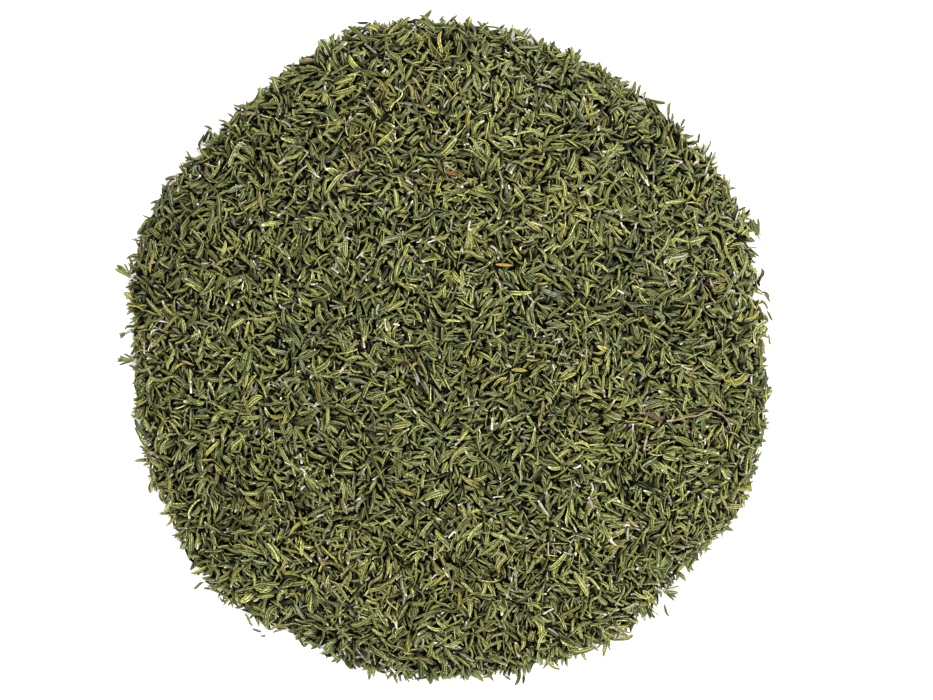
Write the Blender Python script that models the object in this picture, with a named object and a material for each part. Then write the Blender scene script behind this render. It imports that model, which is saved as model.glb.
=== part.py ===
"""A round heap of loose thyme leaves, as poured out on a table and seen from above.

The heap is one body: a low mound with blades standing out of it all over, each blade a thyme
leaf drawn larger than life. On top lies what isn't a single green leaf: leafy tips, stalks,
bits of stalk and withered leaves, each a piece of its own at its true size.
"""

import math
import random

import bmesh
import bpy
from mathutils import Matrix, Vector
from mathutils.bvhtree import BVHTree

# The heap, in metres. +X is to the right and +Y up as it is seen from above.
HEAP_HEIGHT = 0.025
# Distance from the middle to the edge, every 30 degrees, anticlockwise from +X.
EDGE_RADII = (
    0.0895, 0.0905, 0.0905, 0.0930, 0.0905, 0.0920,
    0.0895, 0.0915, 0.0918, 0.0920, 0.0925, 0.0925,
)
CROWN_POWER = 2.3
SHOULDER_POWER = 0.72

# The smaller mound that the blades stand out of, and the flat spot that the heap rests on.
CORE_DEPTH = 0.0020
CORE_EDGE_INSET = 0.0050
CORE_EDGE_HEIGHT = 0.0006
CORE_SEGMENTS = 28
CORE_RINGS = 18
FOOT_SIDES = 8
FOOT_RADIUS = 0.060
FOOT_TOP = 0.006

# The blades on the mound, about three times as long as a real thyme leaf.
BLADE_COUNT = 205
BLADE_LENGTH = (0.0155, 0.0205)
BLADE_WIDTH = (0.0052, 0.0068)
BLADE_THICKNESS = 0.0012
BLADE_PITCH = (7, 24)
BLADE_ROLL = 20
BLADE_ARCH = 0.09
BLADE_SUNK = 0.26
BLADE_RINGS = 4
BLADE_TRIES = 60
# Blades on the mound's top start within this share of the way to its edge.
BLADE_REACH = 0.95
GOLDEN_ANGLE = math.pi * (3 - math.sqrt(5))
PLACE_JITTER = 0.05
# Rows of blades round the rim: how many, how high their roots are, how far past the outline
# their tips end and how steeply they rise, in degrees.
RIM_ROWS = (
    (42, (0.0016, 0.0034), (-0.0006, 0.0018), (-7, 7)),
    (38, (0.0050, 0.0075), (-0.0040, -0.0012), (-24, -8)),
)
RIM_SPREAD = 62
RIM_LEAN = 14
RIM_JITTER = 0.3
FLOOR_CLEARANCE = 0.0003
SEED = 11

# Any leaf: how bluntly its outline ends, and the share of its thickness above its middle.
LEAF_BLUNTNESS = 0.6
LEAF_KEEL = 0.66

# True sizes of the pieces that lie on the heap.
LEAF_THICKNESS = 0.0007
LEAF_ARCH = 0.14
LEAF_RINGS = 6
TIP_STEM_RADIUS = 0.0004
TIP_STEM_LENGTH = 0.0034
TIP_LEAF_LENGTH = (0.0048, 0.0062)
TIP_LEAF_WIDTH = (0.0013, 0.0017)
TIP_SPREAD = (14, 48)
TIP_JITTER = 0.3
TIP_LEAF_OVERLAP = 0.0010
TIP_FLATNESS = 0.55
TIP_LOWEST = -0.25
STALK_STEPS = 3
# A piece is lowered onto the heap from this far above its place, in steps.
LAY_FROM = 0.012
LAY_STEP = 0.0002
GAP = 0.0002

# Leafy tips: where the stem's cut end lies, the way the leaves point, and their number.
LEAFY_TIPS = (
    (-0.0342, 0.0750, -85, 7),
    (-0.0227, 0.0712, -60, 6),
    (-0.0470, 0.0520, 30, 6),
    (0.0059, 0.0360, -95, 7),
    (0.0372, 0.0722, -95, 6),
    (0.0460, 0.0555, 225, 6),
    (0.0476, 0.0370, 80, 8),
    (0.0874, 0.0308, 118, 7),
    (0.0000, -0.0512, 45, 7),
    (0.0500, -0.0480, 172, 8),
    (0.0462, -0.0535, 130, 6),
    (0.0546, -0.0752, 108, 6),
    (-0.0410, -0.0320, -50, 6),
    (-0.0232, 0.0012, 95, 7),
)
# Bare stalks: radius, and the points that each passes through, seen from above.
STALKS = {
    "tan_stalk": (0.00038, (
        (0.0602, -0.0191), (0.0633, -0.0188), (0.0662, -0.0180), (0.0690, -0.0176),
        (0.0707, -0.0167), (0.0725, -0.0161), (0.0747, -0.0167), (0.0764, -0.0178),
        (0.0776, -0.0193), (0.0780, -0.0208),
    )),
    "arched_stalk": (0.0003, (
        (-0.0300, 0.0474), (-0.0286, 0.0490), (-0.0268, 0.0500), (-0.0246, 0.0503),
    )),
    "stalk_bit_1": (0.0003, ((-0.0235, 0.0860), (-0.0220, 0.0847), (-0.0202, 0.0832))),
    "stalk_bit_2": (0.0003, ((0.0246, 0.0745), (0.0266, 0.0742), (0.0286, 0.0735))),
    "stalk_bit_3": (0.0003, ((0.0550, -0.0232), (0.0544, -0.0250), (0.0540, -0.0272))),
    "stalk_bit_4": (0.0003, ((0.0246, -0.0409), (0.0260, -0.0430), (0.0277, -0.0454))),
    "stalk_bit_5": (0.0003, ((0.0277, -0.0770), (0.0292, -0.0778), (0.0305, -0.0790))),
    "stalk_bit_6": (0.0003, ((0.0386, -0.0400), (0.0391, -0.0414), (0.0398, -0.0430))),
}
# Withered leaves: middle, heading in degrees, length and width.
WITHERED_LEAVES = {
    "purple_brown_leaf": (0.0566, -0.0176, -25, 0.0068, 0.0014),
    "orange_leaf_1": (0.0154, 0.0240, -3, 0.0048, 0.0010),
    "orange_leaf_2": (-0.0214, 0.0597, -68, 0.0042, 0.0009),
    "orange_leaf_3": (0.0006, 0.0493, -12, 0.0038, 0.0011),
    "tan_leaf": (-0.0522, 0.0417, -76, 0.0064, 0.0011),
    "pink_leaf": (-0.0725, -0.0030, -16, 0.0042, 0.0010),
    "yellow_leaf": (0.0195, -0.0049, -4, 0.0044, 0.0013),
    "brown_leaf": (-0.0123, -0.0032, -8, 0.0030, 0.0012),
    "olive_leaf": (0.0653, -0.0246, -24, 0.0064, 0.0023),
}

GREEN = (0.165, 0.185, 0.062)
TIP_GREEN = (0.175, 0.205, 0.080)
STALK_COLOURS = {"tan_stalk": (0.42, 0.25, 0.13), "arched_stalk": (0.36, 0.22, 0.16)}
STALK_BIT_COLOUR = (0.33, 0.25, 0.24)
LEAF_COLOURS = {
    "purple_brown_leaf": (0.13, 0.062, 0.060),
    "tan_leaf": (0.42, 0.29, 0.13),
    "pink_leaf": (0.40, 0.23, 0.15),
    "yellow_leaf": (0.40, 0.33, 0.05),
    "brown_leaf": (0.075, 0.030, 0.030),
    "olive_leaf": (0.20, 0.20, 0.045),
}
ORANGE = (0.50, 0.24, 0.04)
ROUGHNESS = 0.75


def clear_scene():
    for obj in list(bpy.data.objects):
        bpy.data.objects.remove(obj)


def collection(name):
    made = bpy.data.collections.new(name)
    bpy.context.scene.collection.children.link(made)
    return made


def material(name, colour):
    made = bpy.data.materials.new(name)
    made.use_nodes = True
    shader = made.node_tree.nodes["Principled BSDF"]
    shader.inputs["Base Color"].default_value = (*colour, 1)
    shader.inputs["Roughness"].default_value = ROUGHNESS
    shader.inputs["Metallic"].default_value = 0
    return made


def mesh_object(name, bm, where, finish=None):
    mesh = bpy.data.meshes.new(name)
    bm.to_mesh(mesh)
    bm.free()
    obj = bpy.data.objects.new(name, mesh)
    where.objects.link(obj)
    if finish:
        mesh.materials.append(finish)
    return obj


def edge_radius(angle):
    """The heap's outline: a smooth closed curve through EDGE_RADII."""
    count = len(EDGE_RADII)
    place = (angle / (2 * math.pi)) % 1 * count
    first = int(place)
    t = place - first
    a, b, c, d = (EDGE_RADII[(first + k) % count] for k in (-1, 0, 1, 2))
    return b + 0.5 * t * (c - a + t * (2 * a - 5 * b + 4 * c - d + t * (3 * (b - c) + d - a)))


def profile(share):
    """Height of the heap as a share of its crown, at this share of the way to its edge."""
    return max(0.0, 1 - share**CROWN_POWER) ** SHOULDER_POWER


def surface_height(x, y):
    share = math.hypot(x, y) / edge_radius(math.atan2(y, x))
    return HEAP_HEIGHT * profile(min(1.0, share))


def surface_normal(x, y):
    step = 0.001
    rise_x = surface_height(x + step, y) - surface_height(x - step, y)
    rise_y = surface_height(x, y + step) - surface_height(x, y - step)
    return Vector((-rise_x, -rise_y, 2 * step)).normalized()


def facing(up, heading):
    """Axes of a piece that lies on the heap: along it, across it and off the surface."""
    flat = Vector((math.cos(heading), math.sin(heading), 0))
    across = up.cross(flat).normalized()
    return Matrix((across.cross(up), across, up)).transposed()


def mound():
    """The upper half of a sphere, moved onto the heap's profile under the blades."""
    bm = bmesh.new()
    bmesh.ops.create_uvsphere(bm, u_segments=CORE_SEGMENTS, v_segments=CORE_RINGS, radius=1)
    geometry = bm.verts[:] + bm.edges[:] + bm.faces[:]
    bmesh.ops.bisect_plane(bm, geom=geometry, plane_co=(0, 0, 0), plane_no=(0, 0, 1), clear_inner=True)
    bmesh.ops.holes_fill(bm, edges=[e for e in bm.edges if e.is_boundary])
    base = {vert for face in bm.faces if len(face.verts) > 4 for vert in face.verts}
    for vert in bm.verts:
        share = math.acos(min(1.0, vert.co.z)) / (math.pi / 2)
        angle = math.atan2(vert.co.y, vert.co.x)
        reach = (edge_radius(angle) - CORE_EDGE_INSET) * share
        x, y = reach * math.cos(angle), reach * math.sin(angle)
        vert.co = (x, y, CORE_EDGE_HEIGHT if vert in base else surface_height(x, y) - CORE_DEPTH)
    bmesh.ops.recalc_face_normals(bm, faces=bm.faces)
    return bm


def foot():
    """The flat spot under the mound."""
    bm = bmesh.new()
    bmesh.ops.create_cone(
        bm, cap_ends=True, segments=FOOT_SIDES, radius1=FOOT_RADIUS, radius2=FOOT_RADIUS,
        depth=FOOT_TOP, matrix=Matrix.Translation((0, 0, FOOT_TOP / 2)),
    )
    return bm


def leaf(length, width, thickness, arch, rings):
    """A leaf along X from its root at 0: pointed at both ends, keeled above and arched."""
    bm = bmesh.new()
    bmesh.ops.create_uvsphere(bm, u_segments=3, v_segments=rings, radius=1)
    side = math.sin(math.radians(120))
    for vert in bm.verts:
        along, around = vert.co.z, math.atan2(vert.co.y, vert.co.x)
        outline = (1 - along**2) ** LEAF_BLUNTNESS
        vert.co.x = length * (1 + along) / 2
        vert.co.y = -width / 2 * math.sin(around) / side * outline
        keel = thickness * LEAF_KEEL * math.cos(around) * outline
        vert.co.z = keel + arch * length * (1 - along**2)
    return bm


def islands(bm):
    """The faces of each connected piece of surface."""
    left = set(bm.faces)
    while left:
        island, edge_of_search = set(), [left.pop()]
        while edge_of_search:
            face = edge_of_search.pop()
            island.add(face)
            near = {other for edge in face.edges for other in edge.link_faces} & left
            left -= near
            edge_of_search.extend(near)
        yield island


def keep_outer_skin(mesh):
    """Drops what a union leaves besides the body: hollows sealed between blades, and scraps."""
    bm = bmesh.new()
    bm.from_mesh(mesh)
    found = sorted(islands(bm), key=len)
    bmesh.ops.delete(bm, geom=[face for island in found[:-1] for face in island], context="FACES")
    bm.to_mesh(mesh)
    bm.free()


def join(base, repeats):
    """Joins every object of a collection to base, as one solid, and removes them."""
    union = base.modifiers.new("union", "BOOLEAN")
    union.operation = "UNION"
    union.operand_type = "COLLECTION"
    union.collection = repeats
    graph = bpy.context.evaluated_depsgraph_get()
    base.data = bpy.data.meshes.new_from_object(base.evaluated_get(graph))
    base.modifiers.clear()
    keep_outer_skin(base.data)
    for obj in list(repeats.objects):
        bpy.data.objects.remove(obj)


def area_shares(steps=200):
    """The mound's surface out to each of some rings, as a share of all of it."""
    total, areas = 0, [0]
    for k in range(steps):
        inner, outer = k / steps, (k + 1) / steps
        slant = math.hypot(HEAP_HEIGHT * (profile(inner) - profile(outer)), EDGE_RADII[0] / steps)
        total += slant * (inner + outer)
        areas.append(total)
    return [area / total for area in areas]


def blade_places(rng):
    """Points spread evenly over the mound's surface, from the crown out to near its edge."""
    areas = area_shares()
    for k in range(BLADE_COUNT):
        wanted = (k + rng.random()) / BLADE_COUNT
        share = BLADE_REACH * sum(area < wanted for area in areas) / len(areas)
        angle = k * GOLDEN_ANGLE + rng.uniform(-PLACE_JITTER, PLACE_JITTER)
        reach = share * (edge_radius(angle) - CORE_EDGE_INSET)
        yield reach * math.cos(angle), reach * math.sin(angle)


def blade(name, length, rng, where):
    width = rng.uniform(*BLADE_WIDTH)
    return mesh_object(name, leaf(length, width, BLADE_THICKNESS, BLADE_ARCH, BLADE_RINGS), where)


def pitched(pitch, rng):
    """A turn that lifts a blade's tip by a pitch in degrees, and rolls it a little."""
    roll = math.radians(rng.uniform(-BLADE_ROLL, BLADE_ROLL))
    return Matrix.Rotation(-math.radians(pitch), 3, "Y") @ Matrix.Rotation(roll, 3, "X")


def clears_floor(obj):
    return min((obj.matrix_world @ vert.co).z for vert in obj.data.vertices) > FLOOR_CLEARANCE


def add_blade(k, x, y, rng, where):
    """A blade with its root sunk in the mound and its tip standing off it, clear of the floor."""
    length = rng.uniform(*BLADE_LENGTH)
    made = blade(f"blade_{k}", length, rng, where)
    up = surface_normal(x, y)
    point = Vector((x, y, surface_height(x, y) - CORE_DEPTH))
    sunk = Vector((length * BLADE_SUNK, 0, length * BLADE_ARCH / 2))
    for _ in range(BLADE_TRIES):
        turn = facing(up, rng.uniform(0, 2 * math.pi)) @ pitched(rng.uniform(*BLADE_PITCH), rng)
        made.matrix_world = Matrix.Translation(point - turn @ sunk) @ turn.to_4x4()
        if clears_floor(made):
            return
    bpy.data.objects.remove(made)


def add_rim_blade(name, angle, height, past, pitch, rng, where):
    """A blade that leans out over the rim, its root in the mound and its tip near the outline."""
    length = rng.uniform(*BLADE_LENGTH)
    made = blade(name, length, rng, where)
    outward = Vector((math.cos(angle), math.sin(angle), 0))
    up = (Vector((0, 0, 1)) + outward * math.tan(math.radians(RIM_LEAN))).normalized()
    for _ in range(BLADE_TRIES):
        aside = math.radians(rng.uniform(-RIM_SPREAD, RIM_SPREAD))
        turn = facing(up, angle + aside) @ pitched(rng.uniform(*pitch), rng)
        reach = edge_radius(angle) + rng.uniform(*past) - length * math.cos(aside)
        root = outward * reach + Vector((0, 0, rng.uniform(*height)))
        made.matrix_world = Matrix.Translation(root) @ turn.to_4x4()
        if clears_floor(made):
            return
    bpy.data.objects.remove(made)


def leaf_heap(where):
    rng = random.Random(SEED)
    repeats = collection("blades")
    mesh_object("foot", foot(), repeats)
    for k, (x, y) in enumerate(blade_places(rng)):
        add_blade(k, x, y, rng, repeats)
    for row, (count, height, past, pitch) in enumerate(RIM_ROWS):
        for k in range(count):
            angle = 2 * math.pi * (k + row / 2 + rng.uniform(-RIM_JITTER, RIM_JITTER)) / count
            add_rim_blade(f"rim_blade_{row}_{k}", angle, height, past, pitch, rng, repeats)
    heap = mesh_object("leaf_heap", mound(), where, material("heap_green", GREEN))
    join(heap, repeats)
    return heap


def smooth(points, steps):
    """Points along a smooth curve through the given ones."""
    ends = [2 * points[0] - points[1], *points, 2 * points[-1] - points[-2]]
    for a, b, c, d in zip(ends, ends[1:], ends[2:], ends[3:]):
        for k in range(steps):
            t = k / steps
            yield b + t / 2 * (c - a + t * (2 * a - 5 * b + 4 * c - d + t * (3 * (b - c) + d - a)))
    yield points[-1]


def stalk(name, radius, seen, where):
    """A bare stalk that follows the heap's surface through points seen from above."""
    points = [Vector((x, y, surface_height(x, y))) for x, y in seen]
    path = list(smooth(points, STALK_STEPS))
    curve = bpy.data.curves.new(name, "CURVE")
    curve.dimensions = "3D"
    curve.bevel_depth = radius
    curve.bevel_resolution = 1
    curve.use_fill_caps = True
    spline = curve.splines.new("POLY")
    spline.points.add(len(path) - 1)
    for point, place in zip(spline.points, path):
        point.co = (*place, 1)
    obj = bpy.data.objects.new(name, curve)
    where.objects.link(obj)
    curve.materials.append(material(name, STALK_COLOURS.get(name, STALK_BIT_COLOUR)))
    return obj


def withered_leaf(name, x, y, heading, length, width, where):
    """A single leaf lying on the heap, its middle at x, y."""
    finish = material(name, LEAF_COLOURS.get(name, ORANGE))
    obj = mesh_object(name, leaf(length, width, LEAF_THICKNESS, LEAF_ARCH, LEAF_RINGS), where, finish)
    turn = facing(surface_normal(x, y), math.radians(heading))
    middle = Vector((x, y, surface_height(x, y)))
    obj.matrix_world = Matrix.Translation(middle - turn @ Vector((length / 2, 0, 0))) @ turn.to_4x4()
    return obj


def tip_leaf(k, count, rng, where):
    """One leaf of a leafy tip, sunk in the end of its stem and spreading from it."""
    length, width = rng.uniform(*TIP_LEAF_LENGTH), rng.uniform(*TIP_LEAF_WIDTH)
    shape = leaf(length, width, LEAF_THICKNESS, LEAF_ARCH / 2, BLADE_RINGS)
    obj = mesh_object(f"tip_leaf_{k}", shape, where)
    low, high = TIP_SPREAD
    spread = math.radians(low + (high - low) * ((k * 2) % count) / count)
    around = 2 * math.pi * k / count + rng.uniform(-TIP_JITTER, TIP_JITTER)
    sideways, upwards = math.sin(spread) * math.cos(around), math.sin(spread) * math.sin(around)
    along = Vector((math.cos(spread), sideways, max(upwards, TIP_LOWEST) * TIP_FLATNESS)).normalized()
    across = Vector((0, 0, 1)).cross(along).normalized()
    turn = Matrix((along, across, along.cross(across))).transposed()
    root = Vector((TIP_STEM_LENGTH - TIP_LEAF_OVERLAP, 0, 0))
    obj.matrix_world = Matrix.Translation(root) @ turn.to_4x4()


def leafy_tip(name, x, y, heading, leaves, finish, where):
    """A short stem from its cut end at x, y, with leaves spreading from its other end."""
    rng = random.Random(name)
    bm = bmesh.new()
    lying = Matrix.Translation((TIP_STEM_LENGTH / 2, 0, 0)) @ Matrix.Rotation(math.pi / 2, 4, "Y")
    bmesh.ops.create_cone(
        bm, cap_ends=True, segments=5, radius1=TIP_STEM_RADIUS, radius2=TIP_STEM_RADIUS,
        depth=TIP_STEM_LENGTH, matrix=lying,
    )
    tip = mesh_object(name, bm, where, finish)
    repeats = collection(f"{name}_leaves")
    for k in range(leaves):
        tip_leaf(k, leaves, rng, repeats)
    join(tip, repeats)
    turn = facing(surface_normal(x, y), math.radians(heading))
    tip.matrix_world = Matrix.Translation((x, y, surface_height(x, y))) @ turn.to_4x4()
    return tip


def shape_of(obj):
    """The object's points in the world, and its faces."""
    evaluated = obj.evaluated_get(bpy.context.evaluated_depsgraph_get())
    mesh = evaluated.to_mesh()
    points = [evaluated.matrix_world @ vert.co for vert in mesh.vertices]
    faces = [tuple(face.vertices) for face in mesh.polygons]
    evaluated.to_mesh_clear()
    return points, faces


def lay(obj, below):
    """Lowers obj from over the heap until it lies on what is below it, with a small gap."""
    points, faces = shape_of(obj)
    height = LAY_FROM
    while True:
        lower = height - LAY_STEP
        moved = [point + Vector((0, 0, lower)) for point in points]
        tree = BVHTree.FromPolygons(moved, faces)
        if min(point.z for point in moved) < FLOOR_CLEARANCE or any(tree.overlap(other) for other in below):
            break
        height = lower
    rise = Vector((0, 0, height + GAP))
    obj.matrix_world = Matrix.Translation(rise) @ obj.matrix_world
    below.append(BVHTree.FromPolygons([point + rise for point in points], faces))


clear_scene()
pieces = collection("thyme_heap")
heap = leaf_heap(pieces)
on_top = [stalk(name, radius, seen, pieces) for name, (radius, seen) in STALKS.items()]
on_top += [withered_leaf(name, *place, pieces) for name, place in WITHERED_LEAVES.items()]
tip_green = material("tip_green", TIP_GREEN)
on_top += [leafy_tip(f"leafy_tip_{k + 1}", *place, tip_green, pieces) for k, place in enumerate(LEAFY_TIPS)]
bpy.context.view_layer.update()
below = [BVHTree.FromPolygons(*shape_of(heap))]
for piece in on_top:
    lay(piece, below)
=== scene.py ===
"""The looks of a round heap of loose thyme leaves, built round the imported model.

Leaves, leafy tips and bits of stalk are dropped one by one, and each comes to rest on what lies
there already, until they fill the heap's form. The leafy tips, stalks and withered leaves that
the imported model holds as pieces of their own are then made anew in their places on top.
"""

import math
import random

import bpy
import numpy as np
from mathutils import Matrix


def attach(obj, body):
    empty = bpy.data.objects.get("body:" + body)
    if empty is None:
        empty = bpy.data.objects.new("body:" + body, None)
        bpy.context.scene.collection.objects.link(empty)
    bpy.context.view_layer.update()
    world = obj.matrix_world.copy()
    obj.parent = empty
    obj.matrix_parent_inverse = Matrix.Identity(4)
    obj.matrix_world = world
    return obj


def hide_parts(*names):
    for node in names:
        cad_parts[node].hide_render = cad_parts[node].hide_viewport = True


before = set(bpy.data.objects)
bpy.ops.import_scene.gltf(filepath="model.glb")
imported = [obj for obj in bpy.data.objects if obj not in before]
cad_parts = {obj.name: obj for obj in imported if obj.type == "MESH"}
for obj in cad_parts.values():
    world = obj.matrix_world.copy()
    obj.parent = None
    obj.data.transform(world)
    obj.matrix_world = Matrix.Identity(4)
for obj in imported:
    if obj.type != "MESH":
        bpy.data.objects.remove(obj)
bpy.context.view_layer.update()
rng = np.random.default_rng(7)

MM = 0.001
# A pixel of the photograph is this many millimetres, and the heap's middle is at this pixel.
PIXEL = 0.28
PHOTO_WIDTH, PHOTO_HEIGHT = 933, 700
PHOTO_MIDDLE = (449, 352)

# The heap's form, in millimetres. +X is to the right and +Y up as it is seen from above.
CROWN_HEIGHT = 26.0
# Distance from the middle to the edge, every 15 degrees, anticlockwise from +X.
EDGE_RADII = (
    89.0, 89.3, 91.3, 90.4, 90.2, 91.6, 93.0, 94.1, 91.6, 89.9, 92.1, 92.4,
    88.8, 90.2, 91.3, 94.1, 91.0, 92.7, 91.8, 91.8, 93.2, 89.9, 93.0, 91.6,
)
CROWN_POWER = 2.3
SHOULDER_POWER = 0.72
# The dark sheet of painted shade inside the heap starts this far below the surface, above the floor and
# inside the edge.
INSIDE_DEPTH = 3.3
INSIDE_FLOOR = 1.1
INSIDE_INSET = 3.6
# What is drawn of it lies a little deeper still, and its rim is this high.
INSIDE_SLACK, INSIDE_RIM = 0.6, 0.2
INSIDE_RINGS, INSIDE_SPOKES = 40, 96
# Unevenness of the surface: spacing and height of its bumps, which fade out below this height.
BUMPS = ((6.5, 0.8), (15.0, 0.8))
BUMPS_FROM = 8

# The grid of heights that leaves come to rest on.
CELL = 0.3
REACH = 108.0
# Keeps weights that fade with distance above nothing.
TINY = 1e-12

# Loose leaves.
LEAF_LENGTH = (5.8, 1.3)
SMALL_LEAF_LENGTH = (3.7, 0.6)
SMALL_LEAF_SHARE = 0.28
LEAF_LENGTH_RANGE = (2.4, 8.8)
LEAF_SLENDERNESS, SLENDERNESS_RANGE = (5.6, 1.0), (3.2, 7.5)
BROAD_LEAF_SLENDERNESS = (2.9, 3.9)
BROAD_LEAF_SHARE = 0.05
LEAF_HALF_THICKNESS = 0.12
# The share of leaves whose base is pale, and how pale.
PALE_BASE_SHARE, PALE_BASE = 0.3, (0.3, 0.9)
# How their forms vary: the mean and the spread of each, or its lowest and highest value.
ARCH, LEAST_ARCH = (0.25, 0.75), 0.02
FOLD, FOLD_RANGE = (0.42, 0.33), (-0.2, 1.2)
ROLLED = (0.9, 1.9)
BEND, BENT_SHARE, BENT_MORE = (0, 0.23), 0.25, 2.3
WAVE, TWIST = (0, 0.035), (0, 0.5)
WIDEST, BLUNT = (0.42, 0.62), (2.4, 4.0)
LIGHT, LIGHT_RANGE = (0.97, 0.28), (0.3, 1.65)
# How strong each leaf's pale margins and its painted shade in the groove and the valleys beneath are.
GROOVE, GROOVE_SPAN, GROOVE_CURVE = 0.1, 0.9, (2.4, 1.1)
# A hue is a place on the ramps of colours below, from bluish through green and yellow to pink and
# brown. A random number decides on a leaf's kind: below the first share it is bluish, above the
# others it is yellow, pink or brown, and in between it is green.
GREEN_HUE, HUE_SPAN, HUE_CURVE = 0.12, 0.62, (1.7, 1.8)
BLUISH_SHARE = 0.07
YELLOW_FROM, YELLOW_HUE, YELLOW_RISE = 0.955, 0.76, 2.4
RARE_HUES = ((0.99, 0.93), (0.996, 1.0))
# The outline's roundness. The leaf's own short stalk and its narrowest part, as shares of its width,
# and how far along it the stalk goes. Where half the blade is narrower than this, it gets thinner.
ROUNDNESS = 0.68
LEAF_STALK, LEAST_WIDTH, LEAF_STALK_END = 0.2, 0.03, 0.3
THIN_FROM = 0.3
# The points along and across a leaf that come to rest on others.
SAMPLES_ALONG, SAMPLED_LENGTH = 18, (0.01, 0.99)
SAMPLES_ACROSS, SAMPLED_WIDTH = 5, (-0.92, 0.92)

# Bits of stem: how thick at the cut end and how flared, their waves, and how square they are.
STEM_WIDTH, STEM_FLARE = 0.85, 0.25
STEM_WAVE, WAVE_TURNS, WAVE_START = 0.12, 9, 40
STEM_SQUARE, STEM_CORNERS = 0.09, 4
STEM_BEND, STEM_HUE = (0, 0.08), (0.12, 1)
STEM_LIGHT, STEM_LIGHT_RANGE = (1.1, 0.2), (0.6, 1.5)
STEM_RADIUS = (0.18, 0.34)
# Those without leaves are this much of the length of those in leafy tips.
BIT_LENGTH = 0.8

# What is dropped: how many at most, and the shares that are leafy tips and bits of stalk.
MOST_DROPS = 72000
TIP_SHARE = 0.10
STALK_SHARE = 0.05
# How low the surface has to lie under its final height for something to drop there.
ROOM_FOR_LEAF = 1.1
ROOM_FOR_TIP = 1.9
# Each tries a few headings and takes the one in which it comes to rest lowest.
TRIALS = 3
TRIAL_TURN = 0.5
# It tilts by most of the slope it lies on and by a random pitch and roll. A share of them rolls by
# anything up to a quarter turn, and a share lies with the underside up.
SLOPE_SHARE, MOST_PITCH, PITCH = 0.8, 0.5, (0, 0.34)
ROLL, TUMBLED_SHARE, TUMBLED_ROLL = (0, 0.45), 0.35, (-1.6, 1.6)
UNDERSIDE_SHARE = 0.35
# Leaves near each other mostly lie much the same way: how far this holds, how loosely, and for
# what share of them.
FLOW_SPACING = 14.0
FLOW_SPREAD = 0.5
FLOW_SHARE = 0.78
# Lighter and darker, yellower and greener patches: how far apart, and how strong.
PATCHES = ((9.0, 0.10, 0.07), (24.0, 0.10, 0.06))
# The share of a piece that may press into what it rests on.
GIVE = 0.25
FLOOR_CLEARANCE = 0.05

# Leafy tips in the heap.
TIP_LEAVES = (4, 9)
TIP_STEM_LENGTH = (1.2, 4.2)
TIP_LEAF_LENGTH, TIP_SLENDERNESS = (4.9, 0.7), (3.6, 5.8)
TIP_ARCH, TIP_PALE = (-0.35, 0.35), (0.3, 0.9)
# Leaves grow shorter and closer to the stem towards its end, the first ones this far along it.
LOWEST_LEAF, LEAF_TAPER = 1.1, 0.35
TIP_SPREAD, SPREAD_VARIES, AROUND = (0.62, 0.12), (0.6, 1.2), (0, 0.35)
FIRST_LEAVES = 0.3
TIP_FLATNESS = 0.65
# The leaves of one tip are alike in hue by this share.
SHARED_HUE = 0.2
# Keeps an arch clear of nothing, because its curve is divided by it.
ARCH_SHIFT = 0.03

# Leaves that stick out past the edge: the photograph's pixels at their two ends.
EDGE_LEAVES = (
    (204, 125, 213, 129), (210, 128, 203, 143), (202, 134, 199, 149), (181, 167, 195, 160),
    (131, 257, 134, 272), (133, 267, 128, 279), (125, 289, 139, 280), (126, 300, 134, 290),
    (193, 589, 204, 581), (197, 571, 205, 571), (219, 599, 227, 602), (252, 629, 262, 632),
    (261, 637, 266, 635), (275, 630, 283, 630), (245, 613, 253, 626), (525, 672, 523, 684),
    (521, 667, 517, 686), (487, 668, 493, 682), (504, 675, 511, 680), (545, 661, 560, 671),
    (526, 664, 529, 673), (663, 605, 669, 617), (634, 615, 630, 633), (613, 641, 634, 636),
    (600, 640, 607, 648), (347, 23, 370, 44), (357, 23, 369, 23), (361, 31, 368, 26),
    (341, 32, 347, 29), (416, 27, 433, 11), (439, 21, 444, 16), (736, 196, 735, 206),
    (736, 211, 747, 207), (761, 268, 760, 287), (762, 290, 771, 296), (764, 293, 771, 302),
    (762, 299, 769, 309), (767, 311, 773, 321), (768, 334, 771, 345), (620, 632, 616, 638),
    (622, 88, 630, 84), (622, 90, 632, 91), (637, 95, 641, 84), (642, 101, 646, 90),
    (647, 100, 666, 104), (667, 117, 670, 102), (672, 125, 672, 112), (662, 121, 660, 112),
    (680, 128, 685, 118), (698, 143, 699, 133), (698, 151, 704, 149), (723, 183, 728, 181),
    (601, 73, 600, 64), (614, 77, 622, 79), (213, 589, 203, 588), (185, 536, 177, 536),
    (189, 540, 182, 539), (194, 558, 189, 553), (253, 106, 237, 107), (242, 112, 227, 124),
    (278, 80, 283, 72), (163, 195, 169, 181), (168, 198, 162, 205),
)
# A bluish cluster at the edge: the photograph's pixel at its middle, its radius and its shade.
BLUISH = ((199, 165), 10, 0.03)
# Leafy tips at the edge: the photograph's pixel at the cut end, heading in degrees, number of
# leaves and their length.
EDGE_TIPS = ((657, 588, -18, 8, 5.4), (131, 330, 215, 5, 2.8), (176, 178, 250, 6, 3.6))
EDGE_TIP_SPREAD = (0.1, 0.75)
EDGE_TIP_STEM_LENGTH = 1.6
EDGE_TIP_LENGTH, EDGE_TIP_SLENDERNESS = (0.85, 1.1), 4.2
EDGE_LEAF_SLENDERNESS, EDGE_LEAF_WIDTH, EDGE_LEAF_ROLL = 4.5, (0.7, 1.5), 0.3
# The shares of the usual arch, hue and so on that leaves at the edge and under the heap have.
EDGE_LEAF_FORM = {"arch": 0.4, "hue": 0.8, "light": 0.85}
EDGE_TIP_FORM = {"hue": 0.7, "light": 0.85}
LITTER_FORM = {"arch": 0.3, "twist": 0.3, "fold": 0.4}

# A notch in the edge round a leafy tip: the photograph's pixel at its middle, and its radius.
NOTCH = ((645, 614), 13)

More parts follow.
